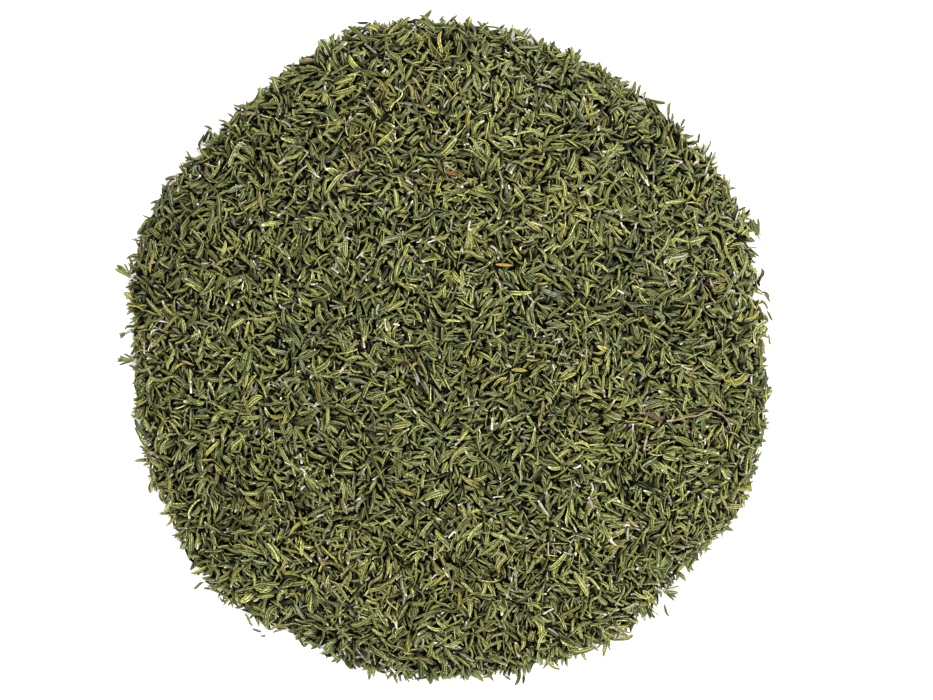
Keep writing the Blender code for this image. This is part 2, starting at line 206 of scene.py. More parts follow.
# Leaves that lie flat under the heap.
LITTER_COUNT = 4200
LITTER_INSET, LITTER_HEIGHT = 5.0, 0.5
# This share of them lies near the edge, within these distances of it, and up to this high.
EDGE_LITTER_SHARE = 0.45
EDGE_LITTER_INSET = (2.0, 7.0)
EDGE_LITTER_HEIGHT = 1.4
LITTER_ROLL, LITTER_PITCH, LITTER_UNDERSIDE_SHARE = (0, 0.12), (0, 0.03), 0.5

# Painted shade between leaves: how far below the surface round it a leaf starts to darken, how much
# deeper it is as dark as it gets, and how far that surface is smoothed out.
CREVICE_START = -0.45
CREVICE_DEPTH = 1.27
CREVICE_BLUR, BLUR_STEPS = 1.6, 8

RINGS = (0.0, 0.06, 0.18, 0.36, 0.56, 0.76, 0.92, 1.0)
# A leaf's ring: place across the leaf from -1 to 1, and height in half thicknesses. The margins
# and the rib under the leaf are its thickest parts, and a groove runs along its top.
RING_POINTS = (
    (-1, 0.2), (-0.68, 1.4), (0, -0.4), (0.68, 1.4), (1, 0.2), (0.5, -0.9), (0, -1.9), (-0.5, -0.9),
)
# Points of the ring below this height are on the leaf's underside.
UNDERSIDE_FROM = -0.1
STEM_RINGS = (0.0, 0.02, 0.2, 0.4, 0.6, 0.8, 0.98, 1.0)
STEM_SIDES, STEM_END = 8, 0.75
STALK_SIDES = 12
MOST_IN_PIECE = 1600
# The margin round each leaf's part of the bake layout.
UV_MARGIN = 0.04

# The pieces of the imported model, in metres and degrees as its source has them. Leafy tips: where
# the stem's cut end lies, the way the leaves point, and their number.
LEAFY_TIPS = (
    (-0.0342, 0.0750, -85, 7),
    (-0.0227, 0.0712, -60, 6),
    (-0.0470, 0.0520, 30, 6),
    (0.0059, 0.0360, -95, 7),
    (0.0372, 0.0722, -95, 6),
    (0.0460, 0.0555, 225, 6),
    (0.0476, 0.0370, 80, 8),
    (0.0874, 0.0308, 118, 7),
    (0.0000, -0.0512, 45, 7),
    (0.0500, -0.0480, 172, 8),
    (0.0462, -0.0535, 130, 6),
    (0.0546, -0.0752, 108, 6),
    (-0.0410, -0.0320, -50, 6),
    (-0.0232, 0.0012, 95, 7),
)
CAD_STEM_RADIUS = 0.4
CAD_LEAF_LENGTH = (4.8, 6.2)
CAD_LEAF_WIDTH = (1.3, 1.7)
CAD_SPREAD = (14, 48)
CAD_JITTER = 0.3
CAD_OVERLAP = 1.0
CAD_FLATNESS = 0.55
CAD_LOWEST = -0.25
# The scene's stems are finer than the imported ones, by this share, and their hues are pale ones.
FINER_STEM = 0.68
PALE_STEM, PALE_STEM_SPAN = 0.55, 0.45
# The leaves' arch, bend and pale base.
CAD_ARCH, CAD_BEND, CAD_PALE = (-0.3, 0.2), 0.4, (0.5, 0.95)
# How each leafy tip differs: the length of its bare stem, and the share of the spread.
BARE_STEM, SPREAD_SHARE = 2.1, 0.75
TIP_FORMS = {
    "leafy_tip_3": (1.4, 0.8), "leafy_tip_6": (1.7, 0.7), "leafy_tip_7": (0.5, 2.0),
    "leafy_tip_8": (1.5, 0.65), "leafy_tip_9": (2.1, 0.45), "leafy_tip_10": (0.9, 0.4),
    "leafy_tip_11": (2.2, 0.5), "leafy_tip_12": (0.9, 0.85), "leafy_tip_13": (1.8, 0.5),
    "leafy_tip_14": (2.3, 0.45),
}
# The leaves of those that lie past the heap's edge are darker, wider and greener.
DARK_TIPS = ("leafy_tip_8", "leafy_tip_12")
DARK_TIP_FORM = {"light": 0.8, "width": 1.6}
DARK_TIP_HUES = 0.4
# Bare stalks: radius, and the points that each passes through, seen from above.
STALKS = {
    "tan_stalk": (0.00038, (
        (0.0602, -0.0191), (0.0633, -0.0188), (0.0662, -0.0180), (0.0690, -0.0176),
        (0.0707, -0.0167), (0.0725, -0.0161), (0.0747, -0.0167), (0.0764, -0.0178),
        (0.0776, -0.0193), (0.0780, -0.0208),
    )),
    "arched_stalk": (0.0003, (
        (-0.0300, 0.0474), (-0.0286, 0.0490), (-0.0268, 0.0500), (-0.0246, 0.0503),
    )),
    "stalk_bit_1": (0.0003, ((-0.0235, 0.0860), (-0.0220, 0.0847), (-0.0202, 0.0832))),
    "stalk_bit_2": (0.0003, ((0.0246, 0.0745), (0.0266, 0.0742), (0.0286, 0.0735))),
    "stalk_bit_3": (0.0003, ((0.0550, -0.0232), (0.0544, -0.0250), (0.0540, -0.0272))),
    "stalk_bit_4": (0.0003, ((0.0246, -0.0409), (0.0260, -0.0430), (0.0277, -0.0454))),
    "stalk_bit_5": (0.0003, ((0.0277, -0.0770), (0.0292, -0.0778), (0.0305, -0.0790))),
    "stalk_bit_6": (0.0003, ((0.0386, -0.0400), (0.0391, -0.0414), (0.0398, -0.0430))),
}
# Withered leaves: middle, heading in degrees, length, width, and shade from the first of its
# colours to the last.
WITHERED_LEAVES = {
    "purple_brown_leaf": (0.0566, -0.0176, -25, 0.0068, 0.0014, 0.5),
    "orange_leaf_1": (0.0154, 0.0240, -3, 0.0048, 0.0010, 0.5),
    "orange_leaf_2": (-0.0214, 0.0597, -68, 0.0042, 0.0009, 1.0),
    "orange_leaf_3": (0.0006, 0.0493, -12, 0.0038, 0.0011, 0.0),
    "tan_leaf": (-0.0522, 0.0417, -76, 0.0064, 0.0011, 0.5),
    "pink_leaf": (-0.0725, -0.0030, -16, 0.0042, 0.0010, 0.5),
    "yellow_leaf": (0.0195, -0.0049, -4, 0.0044, 0.0013, 0.5),
    "brown_leaf": (-0.0123, -0.0032, -8, 0.0030, 0.0012, 0.5),
    "olive_leaf": (0.0653, -0.0246, -24, 0.0064, 0.0023, 0.5),
}
# How each of them is formed: how far it arches up and bends sideways, how blunt its ends are, where
# it is widest, and the share of its width.
WITHERED_FORMS = {
    "purple_brown_leaf": (0.4, -0.45, 1.9, 0.5, 1.0),
    "orange_leaf_1": (0.4, 0.0, 2.2, 0.35, 0.95),
    "orange_leaf_2": (0.3, -0.1, 1.7, 0.5, 1.0),
    "orange_leaf_3": (0.5, 0.1, 2.4, 0.6, 0.95),
    "tan_leaf": (0.4, 0.06, 1.8, 0.5, 0.95),
    "pink_leaf": (0.3, -0.1, 1.7, 0.4, 0.75),
    "yellow_leaf": (0.5, -0.15, 2.1, 0.45, 1.0),
    "brown_leaf": (0.9, 0.3, 2.8, 0.5, 0.95),
    "olive_leaf": (0.35, -0.1, 2.2, 0.55, 1.0),
}
# What they all have in common.
WITHERED_LOOK = {"wave": 0.0, "light": 1.0, "groove": 0.7, "pale": 0.3}
# The surface is levelled to this far below each of these pieces, and this far out. Nothing that
# drops within a small distance of one rises higher than this under its middle.
SEAT_DEPTH = 0.55
SEAT_REACH, SEAT_MARGIN = 2.2, 3
CLEAR_ROUND = 0.55
CLEAR_OVER = 0.1
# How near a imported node's corners count towards its height: at a tip's stem, a leaf and a stalk.
NEAR_STEM, NEAR_LEAF, NEAR_STALK = 0.4, 0.5, 0.9
STALK_STEPS = 8
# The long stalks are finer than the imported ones, by this share.
FINER_STALKS = {"tan_stalk": 0.64, "arched_stalk": 0.7}
# A stalk's knots, where leaves grew: height, spacing, place of the first and width.
KNOT_HEIGHT, KNOT_SPACING, KNOT_PLACE, KNOT_WIDTH = 0.5, 3.1, 1.4, 0.3
# How rough and how square a stalk is, and how narrow its ends are and over what length.
ROUGH, ROUGH_TURNS, ROUGH_SHIFT = 0.2, ((2.3, 0), (5.1, 1)), 0.15
STALK_SQUARE = 0.07
STALK_END, STALK_END_LENGTH = 0.65, 0.4

# Colours, from dark or bluish to light or withered.
LEAF_TOPS = (
    (0.00, (0.074, 0.094, 0.042)), (0.12, (0.038, 0.061, 0.007)), (0.45, (0.096, 0.106, 0.009)),
    (0.75, (0.176, 0.156, 0.011)), (0.86, (0.220, 0.186, 0.014)), (0.93, (0.235, 0.160, 0.048)),
    (1.00, (0.090, 0.045, 0.040)),
)
LEAF_UNDERSIDES = (
    (0.00, (0.132, 0.164, 0.088)), (0.12, (0.094, 0.122, 0.038)), (0.45, (0.152, 0.164, 0.038)),
    (0.86, (0.245, 0.218, 0.044)), (0.93, (0.300, 0.225, 0.090)), (1.00, (0.150, 0.085, 0.070)),
)
# Pale rolled margins: their own paler colour and partly a painted highlight on the curl.
MARGINS_AND_HIGHLIGHTS = (
    (0.00, (0.640, 0.690, 0.440)), (0.12, (0.640, 0.730, 0.290)), (0.45, (0.785, 0.800, 0.300)),
    (0.75, (0.820, 0.785, 0.250)), (0.86, (0.820, 0.745, 0.210)), (1.00, (0.600, 0.480, 0.240)),
)
LEAF_BASE = (0.840, 0.800, 0.620)
# The dark of glands and mottle, and of the painted shade in grooves, valleys and at rims.
LEAF_DARK_AND_SHADE = (0.013, 0.016, 0.003)


def spline(a, b, c, d, t):
    """A value between b and c on the smooth curve through four values."""
    return b + 0.5 * t * (c - a + t * (2 * a - 5 * b + 4 * c - d + t * (3 * (b - c) + d - a)))


def smooth_loop(values, angle):
    """A smooth closed curve through values spaced evenly round a turn, read at an angle."""
    values = np.asarray(values)
    place = (angle / (2 * math.pi)) % 1 * len(values)
    first = np.floor(place).astype(int)
    near = (values[(first + k) % len(values)] for k in (-1, 0, 1, 2))
    return spline(*near, place - first)


def smooth_path(points, steps):
    """Points along a smooth curve through the given ones."""
    points = np.asarray(points, float)
    ends = np.vstack([2 * points[0] - points[1], points, 2 * points[-1] - points[-2]])
    made = [
        spline(*ends[k:k + 4], step / steps)
        for k in range(len(points) - 1) for step in range(steps)
    ]
    return np.array(made + [points[-1]])


def bumps(x, y, spacing):
    """Smooth random unevenness between -1 and 1, with bumps this far apart."""
    side = int(2 * REACH / spacing) + 3
    values = rng.uniform(-1, 1, (side, side))
    i, j = (x + REACH) / spacing, (y + REACH) / spacing
    a, b = i.astype(int), j.astype(int)
    s, t = (w * w * (3 - 2 * w) for w in (i - a, j - b))
    low = values[a, b] * (1 - s) + values[a + 1, b] * s
    high = values[a, b + 1] * (1 - s) + values[a + 1, b + 1] * s
    return low * (1 - t) + high * t


def heap_height(x, y):
    """The height of the heap's surface over x, y."""
    share = np.hypot(x, y) / smooth_loop(EDGE_RADII, np.arctan2(y, x))
    return CROWN_HEIGHT * np.maximum(0, 1 - share**CROWN_POWER) ** SHOULDER_POWER


def facing(x, y, heading):
    """Axes of a piece that lies on the heap: along it, across it and off the surface."""
    step = 1.0
    rise_x = heap_height(x + step, y) - heap_height(x - step, y)
    rise_y = heap_height(x, y + step) - heap_height(x, y - step)
    up = np.array([-rise_x, -rise_y, 2 * step])
    up /= np.linalg.norm(up)
    across = np.cross(up, (math.cos(heading), math.sin(heading), 0))
    across /= np.linalg.norm(across)
    return np.stack([np.cross(across, up), across, up], axis=1)


def new_leaves(length, width):
    """Leaves of these lengths and widths in random forms, each at the origin."""
    count = len(length)
    arch = rng.normal(*ARCH, count)
    hue = GREEN_HUE + HUE_SPAN * rng.beta(*HUE_CURVE, count)
    kind = rng.random(count)
    hue = np.where(kind < BLUISH_SHARE, kind, hue)
    hue = np.where(kind > YELLOW_FROM, YELLOW_HUE + (kind - YELLOW_FROM) * YELLOW_RISE, hue)
    for start, rare in RARE_HUES:
        hue = np.where(kind > start, rare, hue)
    return {
        "length": length,
        "width": width,
        "fold": np.clip(rng.normal(*FOLD, count), *FOLD_RANGE),
        "rolled": rng.uniform(*ROLLED, count),
        "arch": np.where(np.abs(arch) < LEAST_ARCH, LEAST_ARCH, arch),
        "bend": rng.normal(*BEND, count) * np.where(rng.random(count) < BENT_SHARE, BENT_MORE, 1),
        "wave": rng.normal(*WAVE, count),
        "twist": rng.normal(*TWIST, count),
        "widest": rng.uniform(*WIDEST, count),
        "blunt": rng.uniform(*BLUNT, count),
        "turn": np.tile(np.eye(3), (count, 1, 1)),
        "place": np.zeros((count, 3)),
        "hue": hue,
        "light": np.clip(rng.normal(*LIGHT, count), *LIGHT_RANGE),
        "groove": GROOVE + GROOVE_SPAN * rng.beta(*GROOVE_CURVE, count),
        "pale": np.where(rng.random(count) < PALE_BASE_SHARE, rng.uniform(*PALE_BASE, count), 0),
    }


def new_stems(length, radius):
    """Bits of stem of these lengths and radii, each with its cut end at the origin."""
    count = len(length)
    return {
        "length": length,
        "radius": radius,
        "bend": rng.normal(*STEM_BEND, count),
        "turn": np.tile(np.eye(3), (count, 1, 1)),
        "place": np.zeros((count, 3)),
        "hue": rng.uniform(*STEM_HUE, count),
        "light": np.clip(rng.normal(*STEM_LIGHT, count), *STEM_LIGHT_RANGE),
    }


def columns(things, *names):
    return (things[name][:, None] for name in names)


def picked(things, rows):
    return {name: value[rows] for name, value in things.items()}


def joined(*parts):
    return {name: np.concatenate([part[name] for part in parts]) for name in parts[0]}


def moved(things, turn, place):
    """Leaves or stems carried along by turns and places, one for each or one for all."""
    made = dict(things)
    made["turn"] = turn @ things["turn"]
    made["place"] = (turn @ things["place"][:, :, None])[:, :, 0] + place
    return made


def scale(things, shares):
    """Multiplies what the shares name."""
    for name, share in shares.items():
        things[name] *= share


def half_blade(fold, rolled, reach):
    """How far half a leaf's blade goes out and up from its midrib, as it curls down to its margin."""
    out, up = 0.0, 0.0
    for share, weight in ((0, 1 / 6), (0.5, 4 / 6), (1, 1 / 6)):
        angle = fold - rolled * (share * reach) ** 3
        out = out + weight * reach * np.cos(angle)
        up = up + weight * reach * np.sin(angle)
    return out, up


def leaf_points(leaves, along, across, lift):
    """Points on each leaf: in its own frame along X, its middle at the origin and its top up."""
    length, width, fold, rolled, arch = columns(leaves, "length", "width", "fold", "rolled", "arch")
    bend, wave, twist, widest, blunt = columns(leaves, "bend", "wave", "twist", "widest", "blunt")
    along, across, lift = along[None], across[None], lift[None]
    past = along - widest
    place = np.where(past < 0, past / widest, past / (1 - widest))
    outline = np.maximum(0, 1 - np.abs(place) ** blunt) ** ROUNDNESS
    stalked = LEAF_STALK * np.clip(1 - along / LEAF_STALK_END, 0, 1) + LEAST_WIDTH
    half = width / 2 * np.maximum(outline, stalked)
    reach = np.abs(across)
    out, up = half_blade(fold, rolled, reach)
    angle = fold - rolled * reach**3
    thick = LEAF_HALF_THICKNESS * lift * np.minimum(1, half / THIN_FROM)
    side = np.sign(across) * (half * out - thick * np.sin(angle))
    up = half * up + thick * np.cos(angle)
    turn = twist * (along - 0.5)
    side, up = side * np.cos(turn) - up * np.sin(turn), side * np.sin(turn) + up * np.cos(turn)
    lean = arch * (along - 0.5)
    x = length / arch * np.sin(lean) + up * np.sin(lean)
    y = side + length * (bend * (along - 0.5) ** 2 + wave * np.sin(2 * math.pi * along))
    z = length / arch * (np.cos(lean) - 1) + up * np.cos(lean)
    return placed(leaves, np.stack([x, y, z], axis=-1))


def stem_points(stems, along, around, reach):
    """Points on each stem, which lies along X and flares from its cut end at the origin."""
    length, radius, bend = columns(stems, "length", "radius", "bend")
    along, around, reach = along[None], around[None], reach[None]
    waves = STEM_WAVE * np.sin(WAVE_TURNS * along + WAVE_START * bend)
    wide = radius * reach * (STEM_WIDTH + STEM_FLARE * along**2 + waves)
    wide = wide * (1 + STEM_SQUARE * np.cos(STEM_CORNERS * around))
    x = length * along + 0 * around
    y = wide * np.cos(around) + length * bend * 4 * along * (1 - along)
    z = wide * np.sin(around)
    return placed(stems, np.stack([x, y, z], axis=-1))


def placed(things, points):
    return np.einsum("nij,nkj->nki", things["turn"], points) + things["place"][:, None]


def turned(yaw, pitch, roll):
    """Rotation matrices that roll about X, then lift +X by a pitch, then turn about Z."""
    cy, sy, cp, sp, cr, sr = (f(a) for a in (yaw, pitch, roll) for f in (np.cos, np.sin))
    zero, one = np.zeros_like(cr + cy), np.ones_like(cr + cy)
    about_z, about_y, about_x = (np.moveaxis(np.array(rows), (0, 1), (-2, -1)) for rows in (
        [[cy, -sy, zero], [sy, cy, zero], [zero, zero, one]],
        [[cp, zero, -sp], [zero, one, zero], [sp, zero, cp]],
        [[one, zero, zero], [zero, cr, -sr], [zero, sr, cr]],
    ))
    return about_z @ about_y @ about_x


def spread_leaves(leaves, root, spread, around, flatness, lowest=-1.0):
    """Turns leaves so that they spread from a stem along X, their tops towards its tip."""
    sideways = np.sin(spread) * np.cos(around)
    upwards = np.maximum(np.sin(spread) * np.sin(around), lowest) * flatness
    along = np.stack([np.cos(spread), sideways, upwards], axis=1)
    along /= np.linalg.norm(along, axis=1)[:, None]
    inward = np.array([[1.0, 0, 0]]) - along * along[:, :1]
    inward /= np.linalg.norm(inward, axis=1)[:, None]
    leaves["turn"] = np.stack([along, np.cross(inward, along), inward], axis=2)
    leaves["place"] = root + along * leaves["length"][:, None] / 2


def fan(count, low, high):
    """How far each leaf of a tip spreads, and where it is round the stem."""
    k = np.arange(count)
    return low + (high - low) * (k * 2 % count) / count, 2 * math.pi * k / count


class Ground:
    """The heights that what is dropped comes to rest on."""

    def __init__(self):
        self.side = int(2 * REACH / CELL)
        at = (np.arange(self.side) + 0.5) * CELL - REACH
        x, y = np.meshgrid(at, at, indexing="ij")
        final = heap_height(x, y)
        lift = sum(height * bumps(x, y, spacing) for spacing, height in BUMPS)
        final += lift * np.clip(final / BUMPS_FROM, 0, 1)
        self.ceiling = np.full(x.shape, np.inf)
        for name in loose_nodes():
            self.level(final, x, y, node_points(name))
        self.height = np.maximum(0, final - INSIDE_DEPTH).ravel()
        self.final = final.ravel()
        self.ceiling = self.ceiling.ravel()

    def level(self, final, x, y, points):
        """Brings the surface to just below a piece that lies on it, and keeps the piece in sight."""
        margin = SEAT_MARGIN * SEAT_REACH
        low, high = points[:, :2].min(0) - margin, points[:, :2].max(0) + margin
        i, j = (((np.array(ends) + REACH) / CELL).astype(int) for ends in zip(low, high))
        part = slice(*i), slice(*j)
        apart = np.hypot(x[part][..., None] - points[:, 0], y[part][..., None] - points[:, 1])
        weights = np.exp(-((apart / SEAT_REACH) ** 2)) + TINY
        seat = (weights * points[:, 2]).sum(-1) / weights.sum(-1) - SEAT_DEPTH
        nearest = apart.min(-1)
        strength = np.exp(-((nearest / SEAT_REACH) ** 2))
        final[part] = final[part] * (1 - strength) + seat * strength
        top = seat + SEAT_DEPTH - CLEAR_OVER
        self.ceiling[part] = np.where(nearest < CLEAR_ROUND, top, self.ceiling[part])

    def cells(self, x, y):
        i = ((x + REACH) / CELL).astype(int)
        j = ((y + REACH) / CELL).astype(int)
        return i * self.side + j

    def rest(self, points, x, y):
        """The cells under points placed over x, y, and the height at which they come to rest."""
        cells = self.cells(points[:, 0] + x, points[:, 1] + y)
        gaps = points[:, 2] - LEAF_HALF_THICKNESS - self.height[cells]
        few = int(len(gaps) * GIVE)
        lowest = points[:, 2].min() - 2 * LEAF_HALF_THICKNESS - FLOOR_CLEARANCE
        return cells, max(-np.partition(gaps, few)[few], -lowest)

    def add(self, points, cells, height):
        np.maximum.at(self.height, cells, points[:, 2] + height + LEAF_HALF_THICKNESS)

    def under(self, yaw, x, y):
        """The mean height under a line through x, y with this heading, and the slope along it."""
        turn = np.array([[math.cos(yaw), math.sin(yaw)], [-math.sin(yaw), math.cos(yaw)]])
        line = MIDDLE_LINE @ turn
        heights = self.height[self.cells(line[:, 0] + x, line[:, 1] + y)]
        third = len(line) // 3
        rise = heights[-third:].mean() - heights[:third].mean()
        return heights.mean(), rise / (LINE_LENGTH * 2 / 3)

    def blurred(self):
        """The heights, smoothed out to the surface that the tops of the leaves make."""
        steps = np.arange(-BLUR_STEPS, BLUR_STEPS + 1) * CELL
        weights = np.exp(-((steps / CREVICE_BLUR) ** 2))
        weights /= weights.sum()
        smooth = self.height.reshape(self.side, self.side)
        for axis in (0, 1):
            smooth = sum(w * np.roll(smooth, k - BLUR_STEPS, axis) for k, w in enumerate(weights))
        return smooth.ravel()


def loose_nodes():
    """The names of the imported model's pieces that lie on the heap."""
    return [*STALKS, *WITHERED_LEAVES, *(f"leafy_tip_{k + 1}" for k in range(len(LEAFY_TIPS)))]


def node_points(name):
    """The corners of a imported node, in millimetres."""
    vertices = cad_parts[name].data.vertices
    points = np.empty(3 * len(vertices))
    vertices.foreach_get("co", points)
    return points.reshape(-1, 3) / MM


def height_of(points, x, y, reach):
    """The mean height of the points near x, y."""
    weights = np.exp(-((points[:, 0] - x) ** 2 + (points[:, 1] - y) ** 2) / reach**2) + TINY
    return (weights * points[:, 2]).sum() / weights.sum()


SAMPLE_ALONG, SAMPLE_ACROSS = (
    grid.ravel() for grid in np.meshgrid(
        np.linspace(*SAMPLED_LENGTH, SAMPLES_ALONG), np.linspace(*SAMPLED_WIDTH, SAMPLES_ACROSS),
        indexing="ij",
    )
)
STEM_SAMPLES = np.linspace(0, 1, 12)
# The line along which the slope under a leaf is read.
LINE_LENGTH, LINE_POINTS = 5.6, 18
MIDDLE_LINE = np.stack(
    [np.linspace(-LINE_LENGTH / 2, LINE_LENGTH / 2, LINE_POINTS), np.zeros(LINE_POINTS)], axis=1,
)


def leaf_samples(leaves):
    return leaf_points(leaves, SAMPLE_ALONG, SAMPLE_ACROSS, np.zeros_like(SAMPLE_ALONG))


def stem_samples(stems):
    return stem_points(stems, STEM_SAMPLES, np.zeros_like(STEM_SAMPLES), np.zeros_like(STEM_SAMPLES))


class Drops:
    """What is dropped on the heap: single leaves, leafy tips and bits of stalk, in random order."""

    def __init__(self, count):
        kind = rng.random(count)
        tip = kind < TIP_SHARE
        stalk = kind > 1 - STALK_SHARE
        self.leaf_counts = np.where(tip, rng.integers(*TIP_LEAVES, count), np.where(stalk, 0, 1))
        self.first_leaf = np.cumsum(self.leaf_counts) - self.leaf_counts
        self.room = np.where(tip, ROOM_FOR_TIP, ROOM_FOR_LEAF)
        self.stem_of = np.cumsum(tip | stalk) - 1
        self.has_stem = tip | stalk
        stems = self.has_stem.sum()
        self.stems = new_stems(rng.uniform(*TIP_STEM_LENGTH, stems), rng.uniform(*STEM_RADIUS, stems))
        self.stems["length"] *= np.where(tip[self.has_stem], 1, BIT_LENGTH)
        owner = np.repeat(np.arange(count), self.leaf_counts)
        total = len(owner)
        small = rng.random(total) < SMALL_LEAF_SHARE
        length = np.where(small, rng.normal(*SMALL_LEAF_LENGTH, total), rng.normal(*LEAF_LENGTH, total))
        length = np.clip(length, *LEAF_LENGTH_RANGE)
        slender = np.clip(rng.normal(*LEAF_SLENDERNESS, total), *SLENDERNESS_RANGE)
        broad = rng.random(total) < BROAD_LEAF_SHARE
        slender = np.where(broad, rng.uniform(*BROAD_LEAF_SLENDERNESS, total), slender)
        self.leaves = new_leaves(length, length / slender)
        self.grow_tips(owner, tip)
        self.leaf_samples = leaf_samples(self.leaves)
        self.stem_samples = stem_samples(self.stems)

    def grow_tips(self, owner, tip):
        """Sets the leaves of each leafy tip in crossed pairs along its stem, shorter towards its end."""
        rows = np.flatnonzero(tip[owner])
        owner = owner[rows]
        number = rows - self.first_leaf[owner]
        up = (number // 2 + 0.5) / np.ceil(self.leaf_counts[owner] / 2)
        stem_length = self.stems["length"][self.stem_of[owner]]
        leaves = picked(self.leaves, rows)
        total = len(rows)
        leaves["length"] = rng.normal(*TIP_LEAF_LENGTH, total) * (LOWEST_LEAF - LEAF_TAPER * up)
        leaves["width"] = leaves["length"] / rng.uniform(*TIP_SLENDERNESS, total)
        leaves["arch"] = rng.normal(*TIP_ARCH, total) - ARCH_SHIFT
        alike = rng.random(len(self.room))[owner]
        leaves["hue"] = (1 - SHARED_HUE) * leaves["hue"] + SHARED_HUE * alike
        leaves["pale"] = rng.uniform(*TIP_PALE, total)
        low, high = TIP_SPREAD
        spread = (low + (high - low) * up) * rng.uniform(*SPREAD_VARIES, total)
        around = (number // 2) * math.pi / 2 + (number % 2) * math.pi + rng.normal(*AROUND, total)
        around += rng.uniform(0, math.pi, len(self.room))[owner]
        root = np.zeros((total, 3))
        root[:, 0] = stem_length * (FIRST_LEAVES + (1 - FIRST_LEAVES) * up)
        spread_leaves(leaves, root, spread, around, TIP_FLATNESS)
        for name, value in leaves.items():
            self.leaves[name][rows] = value

    def points(self, k):
        first, count = self.first_leaf[k], self.leaf_counts[k]
        points = self.leaf_samples[first:first + count].reshape(-1, 3)
        if not self.has_stem[k]:
            return points
        return np.vstack([points, self.stem_samples[self.stem_of[k]]])

    def landed(self, kept, turns, places):
        """The leaves and the stems of what was kept, where they came to rest."""
        counts = self.leaf_counts[kept]
        owner = np.repeat(np.arange(len(kept)), counts)
        shift = self.first_leaf[kept] + counts - np.cumsum(counts)
        rows = np.arange(len(owner)) + np.repeat(shift, counts)
        leaves = moved(picked(self.leaves, rows), turns[owner], places[owner])
        stemmed = np.flatnonzero(self.has_stem[kept])
        stems = picked(self.stems, self.stem_of[kept][stemmed])
        return leaves, moved(stems, turns[stemmed], places[stemmed])


def fill_heap(ground):
    """Drops leaves, tips and bits of stalk until the heap is full."""
    drops = Drops(MOST_DROPS)
    angle = rng.uniform(0, 2 * math.pi, MOST_DROPS)
    reach = np.sqrt(rng.random(MOST_DROPS)) * smooth_loop(EDGE_RADII, angle)
    xs, ys = reach * np.cos(angle), reach * np.sin(angle)
    yaws = 2 * math.pi * bumps(xs, ys, FLOW_SPACING) + rng.normal(0, FLOW_SPREAD, MOST_DROPS)
    yaws = np.where(rng.random(MOST_DROPS) < FLOW_SHARE, yaws, rng.uniform(0, 2 * math.pi, MOST_DROPS))
    pitches = rng.normal(*PITCH, MOST_DROPS)
    rolls = rng.normal(*ROLL, MOST_DROPS)
    tumbled = rng.random(MOST_DROPS) < TUMBLED_SHARE
    rolls = np.where(tumbled, rng.uniform(*TUMBLED_ROLL, MOST_DROPS), rolls)
    rolls = rolls + np.where(rng.random(MOST_DROPS) < UNDERSIDE_SHARE, math.pi, 0)
    kept, turns, places = [], [], []
    for k in np.flatnonzero(~in_notch(xs, ys)):
        x, y = xs[k], ys[k]
        best = None
        for trial in range(TRIALS):
            yaw = yaws[k] + trial * TRIAL_TURN
            height, slope = ground.under(yaw, x, y)
            if trial == 0 and height > ground.final[ground.cells(x, y)] - drops.room[k]:
                break
            pitch = np.clip(math.atan(slope), -MOST_PITCH, MOST_PITCH) * SLOPE_SHARE + pitches[k]
            rotation = turned(yaw, pitch, rolls[k])
            points = drops.points(k) @ rotation.T
            cells, height = ground.rest(points, x, y)
            if best is None or height < best[0]:
                best = height, rotation, points, cells
        if best is None:
            continue
        height, rotation, points, cells = best
        if (points[:, 2] + height > ground.ceiling[cells]).any():
            continue
        ground.add(points, cells, height)
        kept.append(k)
        turns.append(rotation)
        places.append((x, y, height))
    return drops.landed(np.array(kept), np.array(turns), np.array(places))


def from_photo(points):
    """Where the photograph's pixels lie, in millimetres."""
    return (np.asarray(points, float) - PHOTO_MIDDLE) * (PIXEL, -PIXEL)


def near_pixel(x, y, pixel, radius):
    middle_x, middle_y = from_photo(pixel)
    return np.hypot(x - middle_x, y - middle_y) < radius * PIXEL


def in_notch(x, y):
    return near_pixel(x, y, *NOTCH)


def settled(ground, points, yaw, roll, x, y):
    """The turn and the height with which something comes to rest over x, y."""
    slope = ground.under(yaw, x, y)[1]
    rotation = turned(yaw, np.clip(math.atan(slope), -MOST_PITCH, MOST_PITCH), roll)
    points = points @ rotation.T
    cells, height = ground.rest(points, x, y)
    ground.add(points, cells, height)
    return rotation, (x, y, height)


def edge_leaves(ground):
    """The leaves that the photograph shows sticking out past the edge."""
    ends = from_photo(np.reshape(EDGE_LEAVES, (-1, 2))).reshape(-1, 2, 2)
    run = ends[:, 1] - ends[:, 0]
    length = np.hypot(*run.T)
    leaves = new_leaves(length, np.clip(length / EDGE_LEAF_SLENDERNESS, *EDGE_LEAF_WIDTH))
    scale(leaves, EDGE_LEAF_FORM)
    rest = [
        settled(ground, points, math.atan2(y, x), EDGE_LEAF_ROLL, *middle)
        for points, (x, y), middle in zip(leaf_samples(leaves), run, ends.mean(axis=1))
    ]
    turns, places = (np.array(part) for part in zip(*rest))
    return moved(leaves, turns, places)


def edge_tips(ground):
    """The leaves and the stems of the leafy tips that the photograph shows at the edge."""
    parts = []
    for pixel_x, pixel_y, heading, count, leaf_length in EDGE_TIPS:
        length = leaf_length * rng.uniform(*EDGE_TIP_LENGTH, count)
        width = length / EDGE_TIP_SLENDERNESS
        leaves = tip_leaves(length, width, *fan(count, *EDGE_TIP_SPREAD), EDGE_TIP_STEM_LENGTH)
        scale(leaves, EDGE_TIP_FORM)
        stem = new_stems(np.array([EDGE_TIP_STEM_LENGTH]), np.array([STEM_RADIUS[1]]))
        samples = np.vstack([leaf_samples(leaves).reshape(-1, 3), stem_samples(stem)[0]])
        x, y = from_photo((pixel_x, pixel_y))
        turn, place = settled(ground, samples, math.radians(heading), 0.0, x, y)
        parts.append((moved(leaves, turn, place), moved(stem, turn, place)))
    leaves, stems = zip(*parts)
    return joined(*leaves), joined(*stems)


